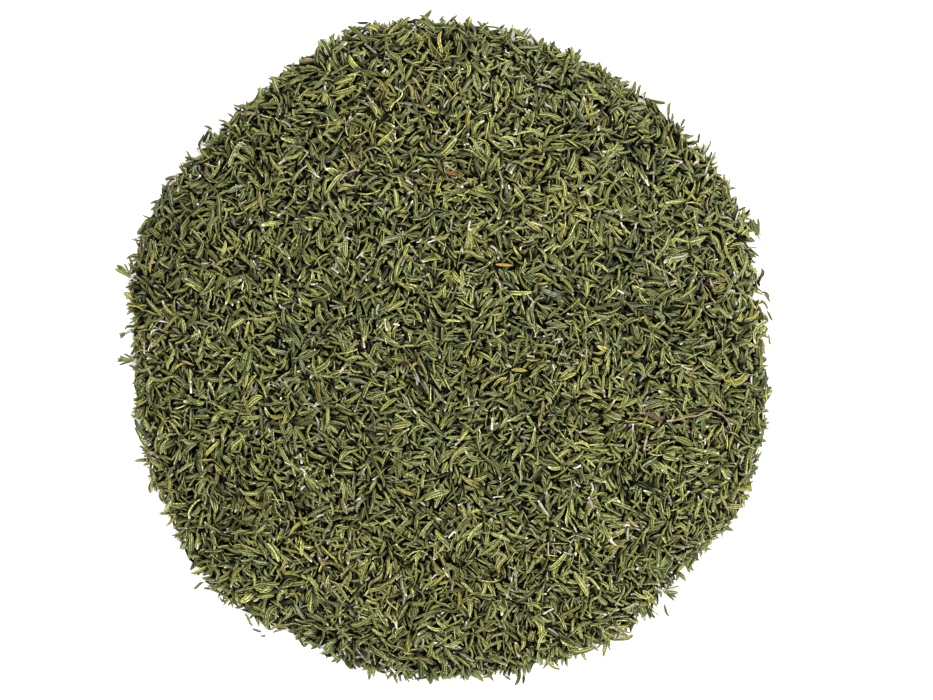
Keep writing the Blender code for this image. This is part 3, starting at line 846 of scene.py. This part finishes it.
def litter():
    """Leaves that lie flat on the floor under the heap."""
    length = np.clip(rng.normal(*LEAF_LENGTH, LITTER_COUNT), *LEAF_LENGTH_RANGE)
    leaves = new_leaves(length, length / LEAF_SLENDERNESS[0])
    scale(leaves, LITTER_FORM)
    angle = rng.uniform(0, 2 * math.pi, LITTER_COUNT)
    edge = smooth_loop(EDGE_RADII, angle)
    near_edge = rng.random(LITTER_COUNT) < EDGE_LITTER_SHARE
    reach = np.sqrt(rng.random(LITTER_COUNT)) * (edge - LITTER_INSET)
    reach = np.where(near_edge, edge - rng.uniform(*EDGE_LITTER_INSET, LITTER_COUNT), reach)
    roll = rng.normal(*LITTER_ROLL, LITTER_COUNT)
    roll += math.pi * (rng.random(LITTER_COUNT) < LITTER_UNDERSIDE_SHARE)
    yaw = rng.uniform(0, 2 * math.pi, LITTER_COUNT)
    turn = turned(yaw, rng.normal(*LITTER_PITCH, LITTER_COUNT), roll)
    leaves = moved(leaves, turn, np.zeros((LITTER_COUNT, 3)))
    lowest = leaf_samples(leaves)[:, :, 2].min(1) - 2 * LEAF_HALF_THICKNESS
    spare = rng.uniform(0, np.where(near_edge, EDGE_LITTER_HEIGHT, LITTER_HEIGHT))
    height = FLOOR_CLEARANCE + spare - lowest
    leaves["place"] += np.stack([reach * np.cos(angle), reach * np.sin(angle), height], axis=1)
    return picked(leaves, ~in_notch(*leaves["place"][:, :2].T))


def circle(sides):
    return np.arange(sides) * 2 * math.pi / sides


def loft_mesh(name, points):
    """One mesh of closed tubes, from each one's rings of points in millimetres."""
    count, rings, sides = points.shape[:3]
    each = rings * sides
    corners, unrolled, totals = [], [], []
    for ring in range(rings - 1):
        for k in range(sides):
            a, b = ring * sides + k, ring * sides + (k + 1) % sides
            corners += [a, b, b + sides, a + sides]
            unrolled += [(k, ring), (k + 1, ring), (k + 1, ring + 1), (k, ring + 1)]
            totals.append(4)
    for ring, order in ((0, range(sides - 1, -1, -1)), (rings - 1, range(sides))):
        corners += [ring * sides + k for k in order]
        unrolled += [(k, ring) for k in order]
        totals.append(sides)
    starts = np.cumsum(totals) - totals
    offsets = np.arange(count)[:, None]
    mesh = bpy.data.meshes.new(name)
    mesh.vertices.add(count * each)
    mesh.vertices.foreach_set("co", (points * MM).ravel())
    mesh.loops.add(count * len(corners))
    mesh.loops.foreach_set("vertex_index", (np.array(corners)[None] + offsets * each).ravel())
    mesh.polygons.add(count * len(totals))
    mesh.polygons.foreach_set("loop_start", (starts[None] + offsets * len(corners)).ravel())
    mesh.polygons.foreach_set("use_smooth", np.ones(count * len(totals), bool))
    mesh.update(calc_edges=True)
    across = math.ceil(math.sqrt(2 * count))
    down = math.ceil(count / across)
    inside = np.array(unrolled) / (sides, rings - 1) * (1 - 2 * UV_MARGIN) + UV_MARGIN
    cell = np.stack([offsets % across, offsets // across], axis=-1)
    layer = mesh.uv_layers.new(name="OFBake")
    layer.uv.foreach_set("vector", ((cell + inside[None]) / (across, down)).ravel())
    return mesh


def float_attribute(mesh, name, values):
    mesh.attributes.new(name, "FLOAT", "POINT").data.foreach_set("value", np.asarray(values, float).ravel())


def painted_crevice_shade(points, surface, ground):
    """How much painted shade each point gets for lying below the surface round it, from 0 to 1."""
    if surface is None:
        return np.zeros(points.shape[:-1])
    deep = surface[ground.cells(points[..., 0], points[..., 1])] - points[..., 2]
    return np.clip((deep - CREVICE_START) / CREVICE_DEPTH, 0, 1)


def leaf_mesh(name, leaves, surface=None, ground=None):
    rings, sides, count = len(RINGS), len(RING_POINTS), len(leaves["length"])
    across, lift = np.tile(np.array(RING_POINTS, float).T, rings)
    along = np.repeat(RINGS, sides)
    points = leaf_points(leaves, along, across, lift)
    mesh = loft_mesh(name, points.reshape(count, rings, sides, 3))
    for label in ("hue", "light", "groove", "pale"):
        float_attribute(mesh, label, np.repeat(leaves[label], rings * sides))
    for label, values in (("along", along), ("across", across), ("under", lift < UNDERSIDE_FROM)):
        float_attribute(mesh, label, np.tile(values, count))
    # Painted shade: darker the deeper a point lies below the leaves round it.
    float_attribute(mesh, "painted_crevice_shade", painted_crevice_shade(points, surface, ground))
    return mesh


def stem_mesh(name, stems, surface=None, ground=None):
    rings, count = len(STEM_RINGS), len(stems["length"])
    along = np.repeat(STEM_RINGS, STEM_SIDES)
    rounded = np.repeat([STEM_END] + [1.0] * (rings - 2) + [STEM_END], STEM_SIDES)
    points = stem_points(stems, along, np.tile(circle(STEM_SIDES), rings), rounded)
    mesh = loft_mesh(name, points.reshape(count, rings, STEM_SIDES, 3))
    for label in ("hue", "light"):
        float_attribute(mesh, label, np.repeat(stems[label], rings * STEM_SIDES))
    float_attribute(mesh, "along", np.tile(along, count))
    # Painted shade: darker the deeper a point lies below the leaves round it.
    float_attribute(mesh, "painted_crevice_shade", painted_crevice_shade(points, surface, ground))
    return mesh


def add_piece(name, mesh, material, node):
    """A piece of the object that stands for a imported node."""
    obj = bpy.data.objects.new(name, mesh)
    bpy.context.scene.collection.objects.link(obj)
    mesh.materials.append(material)
    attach(obj, "root")
    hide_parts(node)
    return obj


def new_material(name, roughness):
    material = bpy.data.materials.new(name)
    material.use_nodes = True
    shader = material.node_tree.nodes["Principled BSDF"]
    shader.inputs["Roughness"].default_value = roughness
    shader.inputs["Specular IOR Level"].default_value = SHINE
    return material, material.node_tree, shader


def attribute(tree, name):
    node = tree.nodes.new("ShaderNodeAttribute")
    node.attribute_name = name
    return node.outputs["Fac"]


def feed(tree, socket, value):
    """Links a socket to another, or sets it to a number or a colour."""
    if isinstance(value, bpy.types.NodeSocket):
        tree.links.new(value, socket)
    elif isinstance(value, tuple):
        socket.default_value = (*value, 1)
    else:
        socket.default_value = value


def ramp(tree, factor, stops):
    node = tree.nodes.new("ShaderNodeValToRGB")
    elements = node.color_ramp.elements
    for k, (place, colour) in enumerate(stops):
        element = elements[k] if k < 2 else elements.new(place)
        element.position = place
        element.color = (*colour, 1)
    tree.links.new(factor, node.inputs["Fac"])
    return node.outputs["Color"]


def mix(tree, factor, a, b, blend="MIX"):
    node = tree.nodes.new("ShaderNodeMix")
    node.data_type = "RGBA"
    node.blend_type = blend
    for name, value in (("Factor", factor), ("A", a), ("B", b)):
        coloured = name != "Factor"
        sockets = (s for s in node.inputs if s.name == name and (s.type == "RGBA") == coloured)
        feed(tree, next(sockets), value)
    return next(s for s in node.outputs if s.type == "RGBA")


def math_node(tree, operation, *values):
    node = tree.nodes.new("ShaderNodeMath")
    node.operation = operation
    for socket, value in zip(node.inputs, values):
        feed(tree, socket, value)
    return node.outputs["Value"]


def product(tree, a, b):
    return math_node(tree, "MULTIPLY", a, b)


def stretch(tree, value, low, high, to_low=0.0, to_high=1.0):
    """A value that goes smoothly from to_low to to_high as the given one goes from low to high."""
    node = tree.nodes.new("ShaderNodeMapRange")
    node.interpolation_type = "SMOOTHSTEP"
    for name, number in (
        ("Value", value), ("From Min", low), ("From Max", high), ("To Min", to_low), ("To Max", to_high),
    ):
        feed(tree, node.inputs[name], number)
    return node.outputs["Result"]


def texture(tree, kind, scale, output, **settings):
    """A texture on the object's own coordinates, with this many features to a metre."""
    place = tree.nodes.new("ShaderNodeTexCoord")
    node = tree.nodes.new(kind)
    node.inputs["Scale"].default_value = scale
    for name, value in settings.items():
        node.inputs[name].default_value = value
    tree.links.new(place.outputs["Object"], node.inputs["Vector"])
    return node.outputs[output]


def shaded(tree, colour, deepest):
    """A colour under the leaf's own lightness and the painted shade between leaves."""
    # Painted shade between leaves, down to the deepest brightness.
    depth = stretch(tree, attribute(tree, "painted_crevice_shade"), 0.0, 1.0, 1.0, deepest)
    light = product(tree, attribute(tree, "light"), depth)
    grey = tree.nodes.new("ShaderNodeCombineColor")
    for channel in grey.inputs:
        tree.links.new(light, channel)
    return mix(tree, 1.0, colour, grey.outputs["Color"], "MULTIPLY")


def add_bump(tree, shader, height, strength, distance):
    bump = tree.nodes.new("ShaderNodeBump")
    bump.inputs["Strength"].default_value = strength
    bump.inputs["Distance"].default_value = distance
    tree.links.new(height, bump.inputs["Height"])
    tree.links.new(bump.outputs["Normal"], shader.inputs["Normal"])


# Roughness and shine.
LEAF_ROUGHNESS, WITHERED_ROUGHNESS, STALK_ROUGHNESS, MATT = 0.58, 0.75, 0.7, 0.9
SHINE, FLOOR_SHINE = 0.18, 0.1
# Features to a metre of the textures.
MOTTLE_SCALE, GLAND_SCALE, HAIR_SCALE = 2300, 3200, 9000
SPECK_SCALE, BLOTCH_SCALE, SHADE_NOISE_SCALE = 2600, 500, 900
# How a leaf's colours go over into each other: between which two values, and what is made of these
# two, 0 and 1 where it doesn't say. First what goes by the distance from the rib.
# The pale band on the crest of the rolled margin: paler colour and partly painted highlight.
MARGIN = (0.5, 0.8)
# Painted shade in the groove along the top.
GROOVE_PAINTED_SHADE = (0.2, 0.7, 0.97, 0.0)
# Painted shade on the side of the rolled margin, where it curls down away from the light.
RIM_PAINTED_SHADE = (0.83, 0.95, 0.0, 0.9)
RIB_BENEATH = (0.0, 0.3, 0.55, 0.0)
# Painted shade in the valleys beneath, between the rib and the rolled margins.
VALLEY_PAINTED_SHADE = ((0.15, 0.4), (0.55, 0.85, 0.55, 0.0))
# What goes by the distance along it, and by the textures.
PALE_END = (0.0, 0.17, 1.0, 0.0)
BROKEN_MARGIN = (0.36, 0.58, 0.3, 1.0)
DARK_MOTTLE = (0.36, 0.6, 0.5, 0.0)
DARK_GLANDS = (0.12, 0.24, 0.35, 0.0)
HAIRS = (0.3, 0.7)
# The veins: how close they are, how they slant, where they show, and how much.
VEIN_TURNS, VEIN_SLANT, VEIN_SHADE = 44.0, 7.0, (0.55, 1.0)
VEIN_COLOUR, VEIN_RELIEF = 0.07, 0.3
MARGIN_BENEATH = 0.6
# How bright the deepest painted shade leaves what lies lowest, and the strength and the height in metres of
# the relief.
LEAF_DEEPEST, LEAF_BUMP = 0.015, (0.35, 0.00005)
STALK_DEEPEST, STALK_BUMP = 0.2, (0.5, 0.00006)
SMOOTHER, ROUGHER = 0.12, 0.15
# The stalks' cut ends and specks, and the share that a stalk's own hue has in its colour.
CUT_END, SPECKS, OWN_HUE = (0.0, 0.16, 1.0, 0.0), (0.4, 0.7, 0.0, 0.5), 0.5


def leaf_material(name, tops, undersides, margins_and_highlights, dark_and_shade, roughness):
    """A leaf: painted shade in its groove, at its rim and in the valleys beneath, pale along the rib
    beneath, and pale at its rolled margins, which are partly painted highlight.
    """
    material, tree, shader = new_material(name, roughness)
    hue = attribute(tree, "hue")
    margin = ramp(tree, hue, margins_and_highlights)
    across = math_node(tree, "ABSOLUTE", attribute(tree, "across"))
    along = attribute(tree, "along")
    groove = attribute(tree, "groove")
    mottle = texture(tree, "ShaderNodeTexNoise", MOTTLE_SCALE, "Fac", Detail=3.0)
    # Pale margin band, partly painted highlight on the crest of the curl.
    edge = product(tree, stretch(tree, across, *MARGIN), stretch(tree, mottle, *BROKEN_MARGIN))
    edge = product(tree, edge, groove)
    top = mix(tree, edge, ramp(tree, hue, tops), margin)
    # Painted shade in the groove along the top.
    top = mix(tree, product(tree, stretch(tree, across, *GROOVE_PAINTED_SHADE), groove), top, dark_and_shade)
    # Painted shade on the side of the rolled margin.
    top = mix(tree, stretch(tree, across, *RIM_PAINTED_SHADE), top, dark_and_shade)
    # Painted shade in the valleys beneath.
    valley_shade = product(tree, *(stretch(tree, across, *band) for band in VALLEY_PAINTED_SHADE))
    beneath = mix(tree, product(tree, valley_shade, groove), ramp(tree, hue, undersides), dark_and_shade)
    rib = stretch(tree, across, *RIB_BENEATH)
    rib = math_node(tree, "MAXIMUM", rib, product(tree, edge, MARGIN_BENEATH))
    beneath = mix(tree, rib, beneath, margin)
    colour = mix(tree, attribute(tree, "under"), top, beneath)
    slant = product(tree, across, VEIN_SLANT)
    veins = math_node(tree, "SUBTRACT", product(tree, along, VEIN_TURNS), slant)
    veins = stretch(tree, math_node(tree, "SINE", veins), *VEIN_SHADE)
    colour = mix(tree, product(tree, veins, VEIN_COLOUR), colour, margin)
    colour = mix(tree, stretch(tree, mottle, *DARK_MOTTLE), colour, dark_and_shade)
    glands = texture(tree, "ShaderNodeTexVoronoi", GLAND_SCALE, "Distance", Randomness=1.0)
    colour = mix(tree, stretch(tree, glands, *DARK_GLANDS), colour, dark_and_shade)
    base = product(tree, stretch(tree, along, *PALE_END), attribute(tree, "pale"))
    colour = mix(tree, base, colour, LEAF_BASE)
    tree.links.new(shaded(tree, colour, LEAF_DEEPEST), shader.inputs["Base Color"])
    hairs = texture(tree, "ShaderNodeTexNoise", HAIR_SCALE, "Fac", Detail=2.0)
    relief = math_node(tree, "ADD", product(tree, veins, VEIN_RELIEF), hairs)
    add_bump(tree, shader, relief, *LEAF_BUMP)
    rough = stretch(tree, hairs, *HAIRS, roughness - SMOOTHER, roughness + ROUGHER)
    tree.links.new(rough, shader.inputs["Roughness"])
    return material


def stalk_material(name, colours, cut):
    """A stalk: blotched, speckled, and pale where it is cut."""
    material, tree, shader = new_material(name, STALK_ROUGHNESS)
    specks = texture(tree, "ShaderNodeTexNoise", SPECK_SCALE, "Fac", Detail=4.0)
    blotches = texture(tree, "ShaderNodeTexNoise", BLOTCH_SCALE, "Fac", Detail=2.0)
    own, blotched = product(tree, attribute(tree, "hue"), OWN_HUE), product(tree, blotches, 1 - OWN_HUE)
    colour = ramp(tree, math_node(tree, "ADD", own, blotched), colours)
    colour = mix(tree, stretch(tree, attribute(tree, "along"), *CUT_END), colour, cut)
    colour = mix(tree, stretch(tree, specks, *SPECKS), colour, colours[0][1])
    tree.links.new(shaded(tree, colour, STALK_DEEPEST), shader.inputs["Base Color"])
    add_bump(tree, shader, specks, *STALK_BUMP)
    return material


def withered_material(name, colours):
    """A withered leaf, the same on both sides, with a margin of another colour."""
    places = [k / (len(colours) - 1) for k in range(len(colours))]
    blades, margins_and_highlights = (tuple(zip(places, column)) for column in zip(*colours))
    dark_and_shade = tuple(WITHERED_DARK_AND_SHADE * c for c in blades[0][1])
    return leaf_material(name, blades, blades, margins_and_highlights, dark_and_shade, WITHERED_ROUGHNESS)


# How bright a withered leaf's dark marks and painted shade are beside its blade.
WITHERED_DARK_AND_SHADE = 0.35
# Blades and margins of the withered leaves, the margins partly painted highlight.
WITHERED_COLOURS = {
    "purple_brown_leaf": (
        ((0.066, 0.030, 0.026), (0.300, 0.180, 0.110)), ((0.125, 0.060, 0.050), (0.400, 0.270, 0.150)),
    ),
    "orange_leaf": (
        ((0.230, 0.090, 0.018), (0.440, 0.210, 0.060)), ((0.560, 0.320, 0.036), (0.700, 0.480, 0.150)),
        ((0.210, 0.205, 0.015), (0.360, 0.340, 0.070)),
    ),
    "tan_leaf": (
        ((0.240, 0.180, 0.070), (0.600, 0.500, 0.300)), ((0.400, 0.315, 0.140), (0.640, 0.540, 0.340)),
    ),
    "pink_leaf": (
        ((0.480, 0.280, 0.095), (0.760, 0.580, 0.360)), ((0.620, 0.390, 0.160), (0.780, 0.600, 0.380)),
    ),
    "yellow_leaf": (
        ((0.200, 0.185, 0.014), (0.580, 0.560, 0.160)), ((0.390, 0.340, 0.030), (0.660, 0.640, 0.200)),
    ),
    "brown_leaf": (
        ((0.014, 0.005, 0.005), (0.100, 0.048, 0.042)), ((0.026, 0.010, 0.010), (0.120, 0.062, 0.056)),
    ),
    "olive_leaf": (
        ((0.095, 0.100, 0.011), (0.280, 0.310, 0.090)), ((0.170, 0.165, 0.020), (0.340, 0.370, 0.120)),
    ),
}
PALE_STALK = ((0.0, (0.150, 0.085, 0.085)), (0.35, (0.330, 0.225, 0.205)), (0.55, (0.500, 0.440, 0.360)),
              (1.0, (0.860, 0.840, 0.760)))
TAN_STALK = ((0.0, (0.165, 0.105, 0.065)), (0.5, (0.320, 0.225, 0.145)), (1.0, (0.600, 0.520, 0.410)))
BROWN_STALK = ((0.0, (0.220, 0.125, 0.085)), (0.5, (0.400, 0.255, 0.175)), (1.0, (0.620, 0.480, 0.390)))
CUT = (0.850, 0.830, 0.770)
# Near-black painted shade inside the heap.
INSIDE_SHADE_COLOURS = ((0.35, (0.004, 0.005, 0.002)), (0.65, (0.030, 0.034, 0.012)))
# Shades of the stalk bits, from purple-brown to white, and of the other stalks.
STALK_SHADES = {
    "stalk_bit_1": 0.2, "stalk_bit_2": 0.4, "stalk_bit_3": 0.45, "stalk_bit_4": 0.65,
    "stalk_bit_5": 0.4,
}
STALK_SHADE = 0.5


def tip_leaves(length, width, spread, around, reach):
    """The leaves of a leafy tip that lies on the heap, its cut end at the origin, its stem along X."""
    leaves = new_leaves(length, width)
    leaves["arch"] = rng.normal(*CAD_ARCH, len(length)) - ARCH_SHIFT
    leaves["bend"] *= CAD_BEND
    leaves["pale"] = rng.uniform(*CAD_PALE, len(length))
    spread_leaves(leaves, np.array([reach, 0, 0]), spread, around, CAD_FLATNESS, CAD_LOWEST)
    return leaves


def add_leafy_tip(name, place, leaf_finish, stem_finish):
    """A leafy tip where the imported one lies, with the same stem and leaves in finer form."""
    x, y, heading, count = place
    x, y = x / MM, y / MM
    drawn = random.Random(name)
    spans = CAD_LEAF_LENGTH, CAD_LEAF_WIDTH, (-CAD_JITTER, CAD_JITTER)
    length, width, jitter = np.array([[drawn.uniform(*span) for span in spans] for _ in range(count)]).T
    bare, share = TIP_FORMS.get(name, (BARE_STEM, SPREAD_SHARE))
    spread, around = fan(count, *(share * np.radians(CAD_SPREAD)))
    leaves = tip_leaves(length, width, spread, around + jitter, bare)
    if name in DARK_TIPS:
        leaves["hue"] = GREEN_HUE + DARK_TIP_HUES * leaves["hue"]
        scale(leaves, DARK_TIP_FORM)
    stem = new_stems(np.array([bare + CAD_OVERLAP]), np.array([FINER_STEM * CAD_STEM_RADIUS]))
    stem["hue"] = PALE_STEM + PALE_STEM_SPAN * stem["hue"]
    turn = facing(x, y, math.radians(heading))
    cut_end = np.array([x, y, height_of(node_points(name), x, y, NEAR_STEM)])
    leaves, stem = moved(leaves, turn, cut_end), moved(stem, turn, cut_end)
    add_piece(f"{name}_leaves", leaf_mesh(f"{name}_leaves", leaves), leaf_finish, name)
    add_piece(f"{name}_stem", stem_mesh(f"{name}_stem", stem), stem_finish, name)


def add_stalk(name, radius, seen, material):
    """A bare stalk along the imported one, with knots where leaves grew."""
    points = node_points(name)
    flat = smooth_path(np.array(seen) / MM, STALK_STEPS)
    path = np.array([(x, y, height_of(points, x, y, NEAR_STALK)) for x, y in flat])
    forward = np.gradient(path, axis=0)
    forward /= np.linalg.norm(forward, axis=1)[:, None]
    side = np.cross(forward, (0, 0, 1))
    side /= np.linalg.norm(side, axis=1)[:, None]
    up = np.cross(side, forward)
    far = np.concatenate([[0], np.cumsum(np.linalg.norm(np.diff(path, axis=0), axis=1))])
    knots = KNOT_HEIGHT * np.exp(-(((far % KNOT_SPACING) - KNOT_PLACE) / KNOT_WIDTH) ** 2)
    slow, fast = (np.sin(far * turns + shift) for turns, shift in ROUGH_TURNS)
    rough = ROUGH * slow * fast - ROUGH_SHIFT
    ends = np.clip(np.minimum(far, far[-1] - far) / STALK_END_LENGTH, 0, 1)
    ends = ends * (1 - STALK_END) + STALK_END
    wide = radius / MM * FINER_STALKS.get(name, 1.0) * (1 + knots + rough) * ends
    around = circle(STALK_SIDES)
    ring = np.cos(around)[None, :, None] * side[:, None] + np.sin(around)[None, :, None] * up[:, None]
    square = 1 + STALK_SQUARE * np.cos(STEM_CORNERS * around)
    rings = path[:, None] + ring * (wide[:, None] * square[None])[..., None]
    mesh = loft_mesh(name + "_fine", rings[None])
    along = np.repeat(far / far[-1], STALK_SIDES)
    shade = STALK_SHADES.get(name, STALK_SHADE)
    for label, value in (("hue", shade), ("light", 1.0), ("painted_crevice_shade", 0.0)):
        float_attribute(mesh, label, np.full(len(along), value))
    float_attribute(mesh, "along", along)
    add_piece(name + "_fine", mesh, material, name)


def add_withered_leaf(name, place, material):
    x, y, heading, length, width, shade = place
    x, y = x / MM, y / MM
    arch, bend, blunt, widest, share = WITHERED_FORMS[name]
    leaf = new_leaves(np.array([length / MM]), np.array([share * width / MM]))
    form = {"arch": arch, "bend": bend, "blunt": blunt, "widest": widest, "hue": shade}
    for label, value in (form | WITHERED_LOOK).items():
        leaf[label] = np.array([value])
    middle = np.array([x, y, height_of(node_points(name), x, y, NEAR_LEAF)])
    leaf = moved(leaf, facing(x, y, math.radians(heading)), middle)
    add_piece(name + "_fine", leaf_mesh(name + "_fine", leaf), material, name)


def add_inside_shade():
    """The near-black sheet of painted shade inside the heap, under the leaves."""
    shares = np.sin(np.linspace(0, math.pi / 2, INSIDE_RINGS + 1)[1:])
    angles = circle(INSIDE_SPOKES)
    reach = shares[:, None] * (smooth_loop(EDGE_RADII, angles) - INSIDE_INSET)[None]
    x, y = reach * np.cos(angles), reach * np.sin(angles)
    z = np.maximum(INSIDE_FLOOR + INSIDE_RIM, heap_height(x, y) - INSIDE_DEPTH - INSIDE_SLACK)
    z[-1] = INSIDE_FLOOR
    top = (0, 0, CROWN_HEIGHT - INSIDE_DEPTH - INSIDE_SLACK)
    points = [top, *zip(x.ravel(), y.ravel(), z.ravel())]
    spokes = INSIDE_SPOKES
    faces = [(0, 1 + k, 1 + (k + 1) % spokes) for k in range(spokes)]
    for ring in range(INSIDE_RINGS - 1):
        for k in range(spokes):
            a, b = 1 + ring * spokes + k, 1 + ring * spokes + (k + 1) % spokes
            faces.append((a, a + spokes, b + spokes, b))
    faces.append(tuple(range(len(points) - spokes, len(points)))[::-1])
    mesh = bpy.data.meshes.new("heap_inside_shade")
    mesh.from_pydata([tuple(c * MM for c in point) for point in points], [], faces)
    material, tree, shader = new_material("heap_inside_shade", MATT)
    # Blotchy near-black painted shade.
    shade_noise = texture(tree, "ShaderNodeTexNoise", SHADE_NOISE_SCALE, "Fac", Detail=4.0)
    tree.links.new(ramp(tree, shade_noise, INSIDE_SHADE_COLOURS), shader.inputs["Base Color"])
    add_piece("heap_inside_shade", mesh, material, "leaf_heap")


# The camera, straight above and far enough away to show little perspective.
LENS = 200
SENSOR = 36

# Soft lights all round: azimuth in degrees and watts of each.
LIGHTS = ((20, 14.5), (110, 7.0), (200, 6.2), (290, 9.7))
LIGHT_ELEVATION = 45
LIGHT_DISTANCE = 1.2
LIGHT_SIZE = 0.45
SKY = 0.08
# The floor glows a little, like a light table, so that hardly any shadow shows round the heap.
FLOOR_GLOW = 0.5
FLOOR_SIZE, FLOOR_WHITE = 4, 0.86


def add_stage():
    bpy.ops.mesh.primitive_plane_add(size=FLOOR_SIZE, location=(0, 0, 0))
    floor = bpy.context.object
    floor.name = "floor"
    material, _, shader = new_material("floor", MATT)
    shader.inputs["Base Color"].default_value = (FLOOR_WHITE, FLOOR_WHITE, FLOOR_WHITE, 1)
    shader.inputs["Specular IOR Level"].default_value = FLOOR_SHINE
    shader.inputs["Emission Color"].default_value = (1, 1, 1, 1)
    shader.inputs["Emission Strength"].default_value = FLOOR_GLOW
    floor.data.materials.append(material)
    world = bpy.data.worlds.new("studio")
    world.use_nodes = True
    world.node_tree.nodes["Background"].inputs["Color"].default_value = (1, 1, 1, 1)
    world.node_tree.nodes["Background"].inputs["Strength"].default_value = SKY
    bpy.context.scene.world = world


def add_lights():
    elevation = math.radians(LIGHT_ELEVATION)
    for k, (azimuth, watts) in enumerate(LIGHTS):
        light = bpy.data.lights.new(f"light_{k + 1}", "AREA")
        light.energy = watts
        light.size = LIGHT_SIZE
        lamp = bpy.data.objects.new(light.name, light)
        bpy.context.scene.collection.objects.link(lamp)
        angle = math.radians(azimuth)
        flat = LIGHT_DISTANCE * math.cos(elevation)
        lamp.location = (
            flat * math.cos(angle), flat * math.sin(angle), LIGHT_DISTANCE * math.sin(elevation),
        )
        lamp.rotation_euler = (-lamp.location).to_track_quat("-Z", "Y").to_euler()


def add_camera():
    camera = bpy.data.cameras.new("camera")
    camera.lens = LENS
    camera.sensor_width = SENSOR
    obj = bpy.data.objects.new("camera", camera)
    bpy.context.scene.collection.objects.link(obj)
    x = (PHOTO_WIDTH / 2 - PHOTO_MIDDLE[0]) * PIXEL * MM
    y = (PHOTO_MIDDLE[1] - PHOTO_HEIGHT / 2) * PIXEL * MM
    obj.location = (x, y, PHOTO_WIDTH * PIXEL * MM * LENS / SENSOR)
    bpy.context.scene.camera = obj


def add_pieces(name, things, order, make_mesh, finish, slot, *painted_shade_inputs):
    """Leaves or stems of the heap, in this order, in as many pieces as it takes."""
    for k, rows in enumerate(np.array_split(order, math.ceil(len(order) / MOST_IN_PIECE))):
        label = f"{name}_{k + 1}"
        mesh = make_mesh(label, picked(things, rows), *painted_shade_inputs)
        add_piece(label, mesh, finish, "leaf_heap")


def add_heap(green, pale_stalk):
    ground = Ground()
    leaves, stems = fill_heap(ground)
    tip_parts = edge_tips(ground)
    leaves = joined(leaves, edge_leaves(ground), tip_parts[0])
    stems = joined(stems, tip_parts[1])
    x, y = leaves["place"][:, :2].T
    for spacing, lightness, hue in PATCHES:
        leaves["light"] *= 1 + lightness * bumps(x, y, spacing)
        green_leaf = (leaves["hue"] > GREEN_HUE) & (leaves["hue"] < YELLOW_HUE)
        leaves["hue"] += hue * bumps(x, y, spacing) * green_leaf
    middle, radius, bluish_hue = BLUISH
    leaves["hue"] = np.where(near_pixel(x, y, middle, radius), bluish_hue, leaves["hue"])
    # The smoothed surface below which leaves and stems get painted shade.
    painted_shade_inputs = ground.blurred(), ground
    order = np.argsort(np.arctan2(y, x))
    add_pieces("leaves", leaves, order, leaf_mesh, green, "thyme_leaf", *painted_shade_inputs)
    order = np.argsort(stems["place"][:, 0])
    add_pieces("stems", stems, order, stem_mesh, pale_stalk, "pale_stalk", *painted_shade_inputs)
    under = litter()
    add_pieces("leaves_under", under, np.arange(len(under["length"])), leaf_mesh, green, "thyme_leaf")
    add_inside_shade()


def main():
    green = leaf_material("thyme_leaf", LEAF_TOPS, LEAF_UNDERSIDES, MARGINS_AND_HIGHLIGHTS, LEAF_DARK_AND_SHADE, LEAF_ROUGHNESS)
    pale_stalk = stalk_material("pale_stalk", PALE_STALK, CUT)
    add_heap(green, pale_stalk)
    for k, place in enumerate(LEAFY_TIPS):
        add_leafy_tip(f"leafy_tip_{k + 1}", place, green, pale_stalk)
    stalk_finishes = {
        "tan_stalk": stalk_material("tan_stalk", TAN_STALK, TAN_STALK[2][1]),
        "brown_stalk": stalk_material("brown_stalk", BROWN_STALK, BROWN_STALK[2][1]),
        "pale_stalk": pale_stalk,
    }
    for name, (radius, seen) in STALKS.items():
        slot = {"tan_stalk": "tan_stalk", "arched_stalk": "brown_stalk"}.get(name, "pale_stalk")
        add_stalk(name, radius, seen, stalk_finishes[slot])
    leaf_finishes = {slot: withered_material(slot, colours) for slot, colours in WITHERED_COLOURS.items()}
    for name, place in WITHERED_LEAVES.items():
        slot = name.rstrip("_123")
        add_withered_leaf(name, place, leaf_finishes[slot])
    add_stage()
    add_lights()
    add_camera()
    bpy.context.scene.view_settings.view_transform = "Standard"


main()
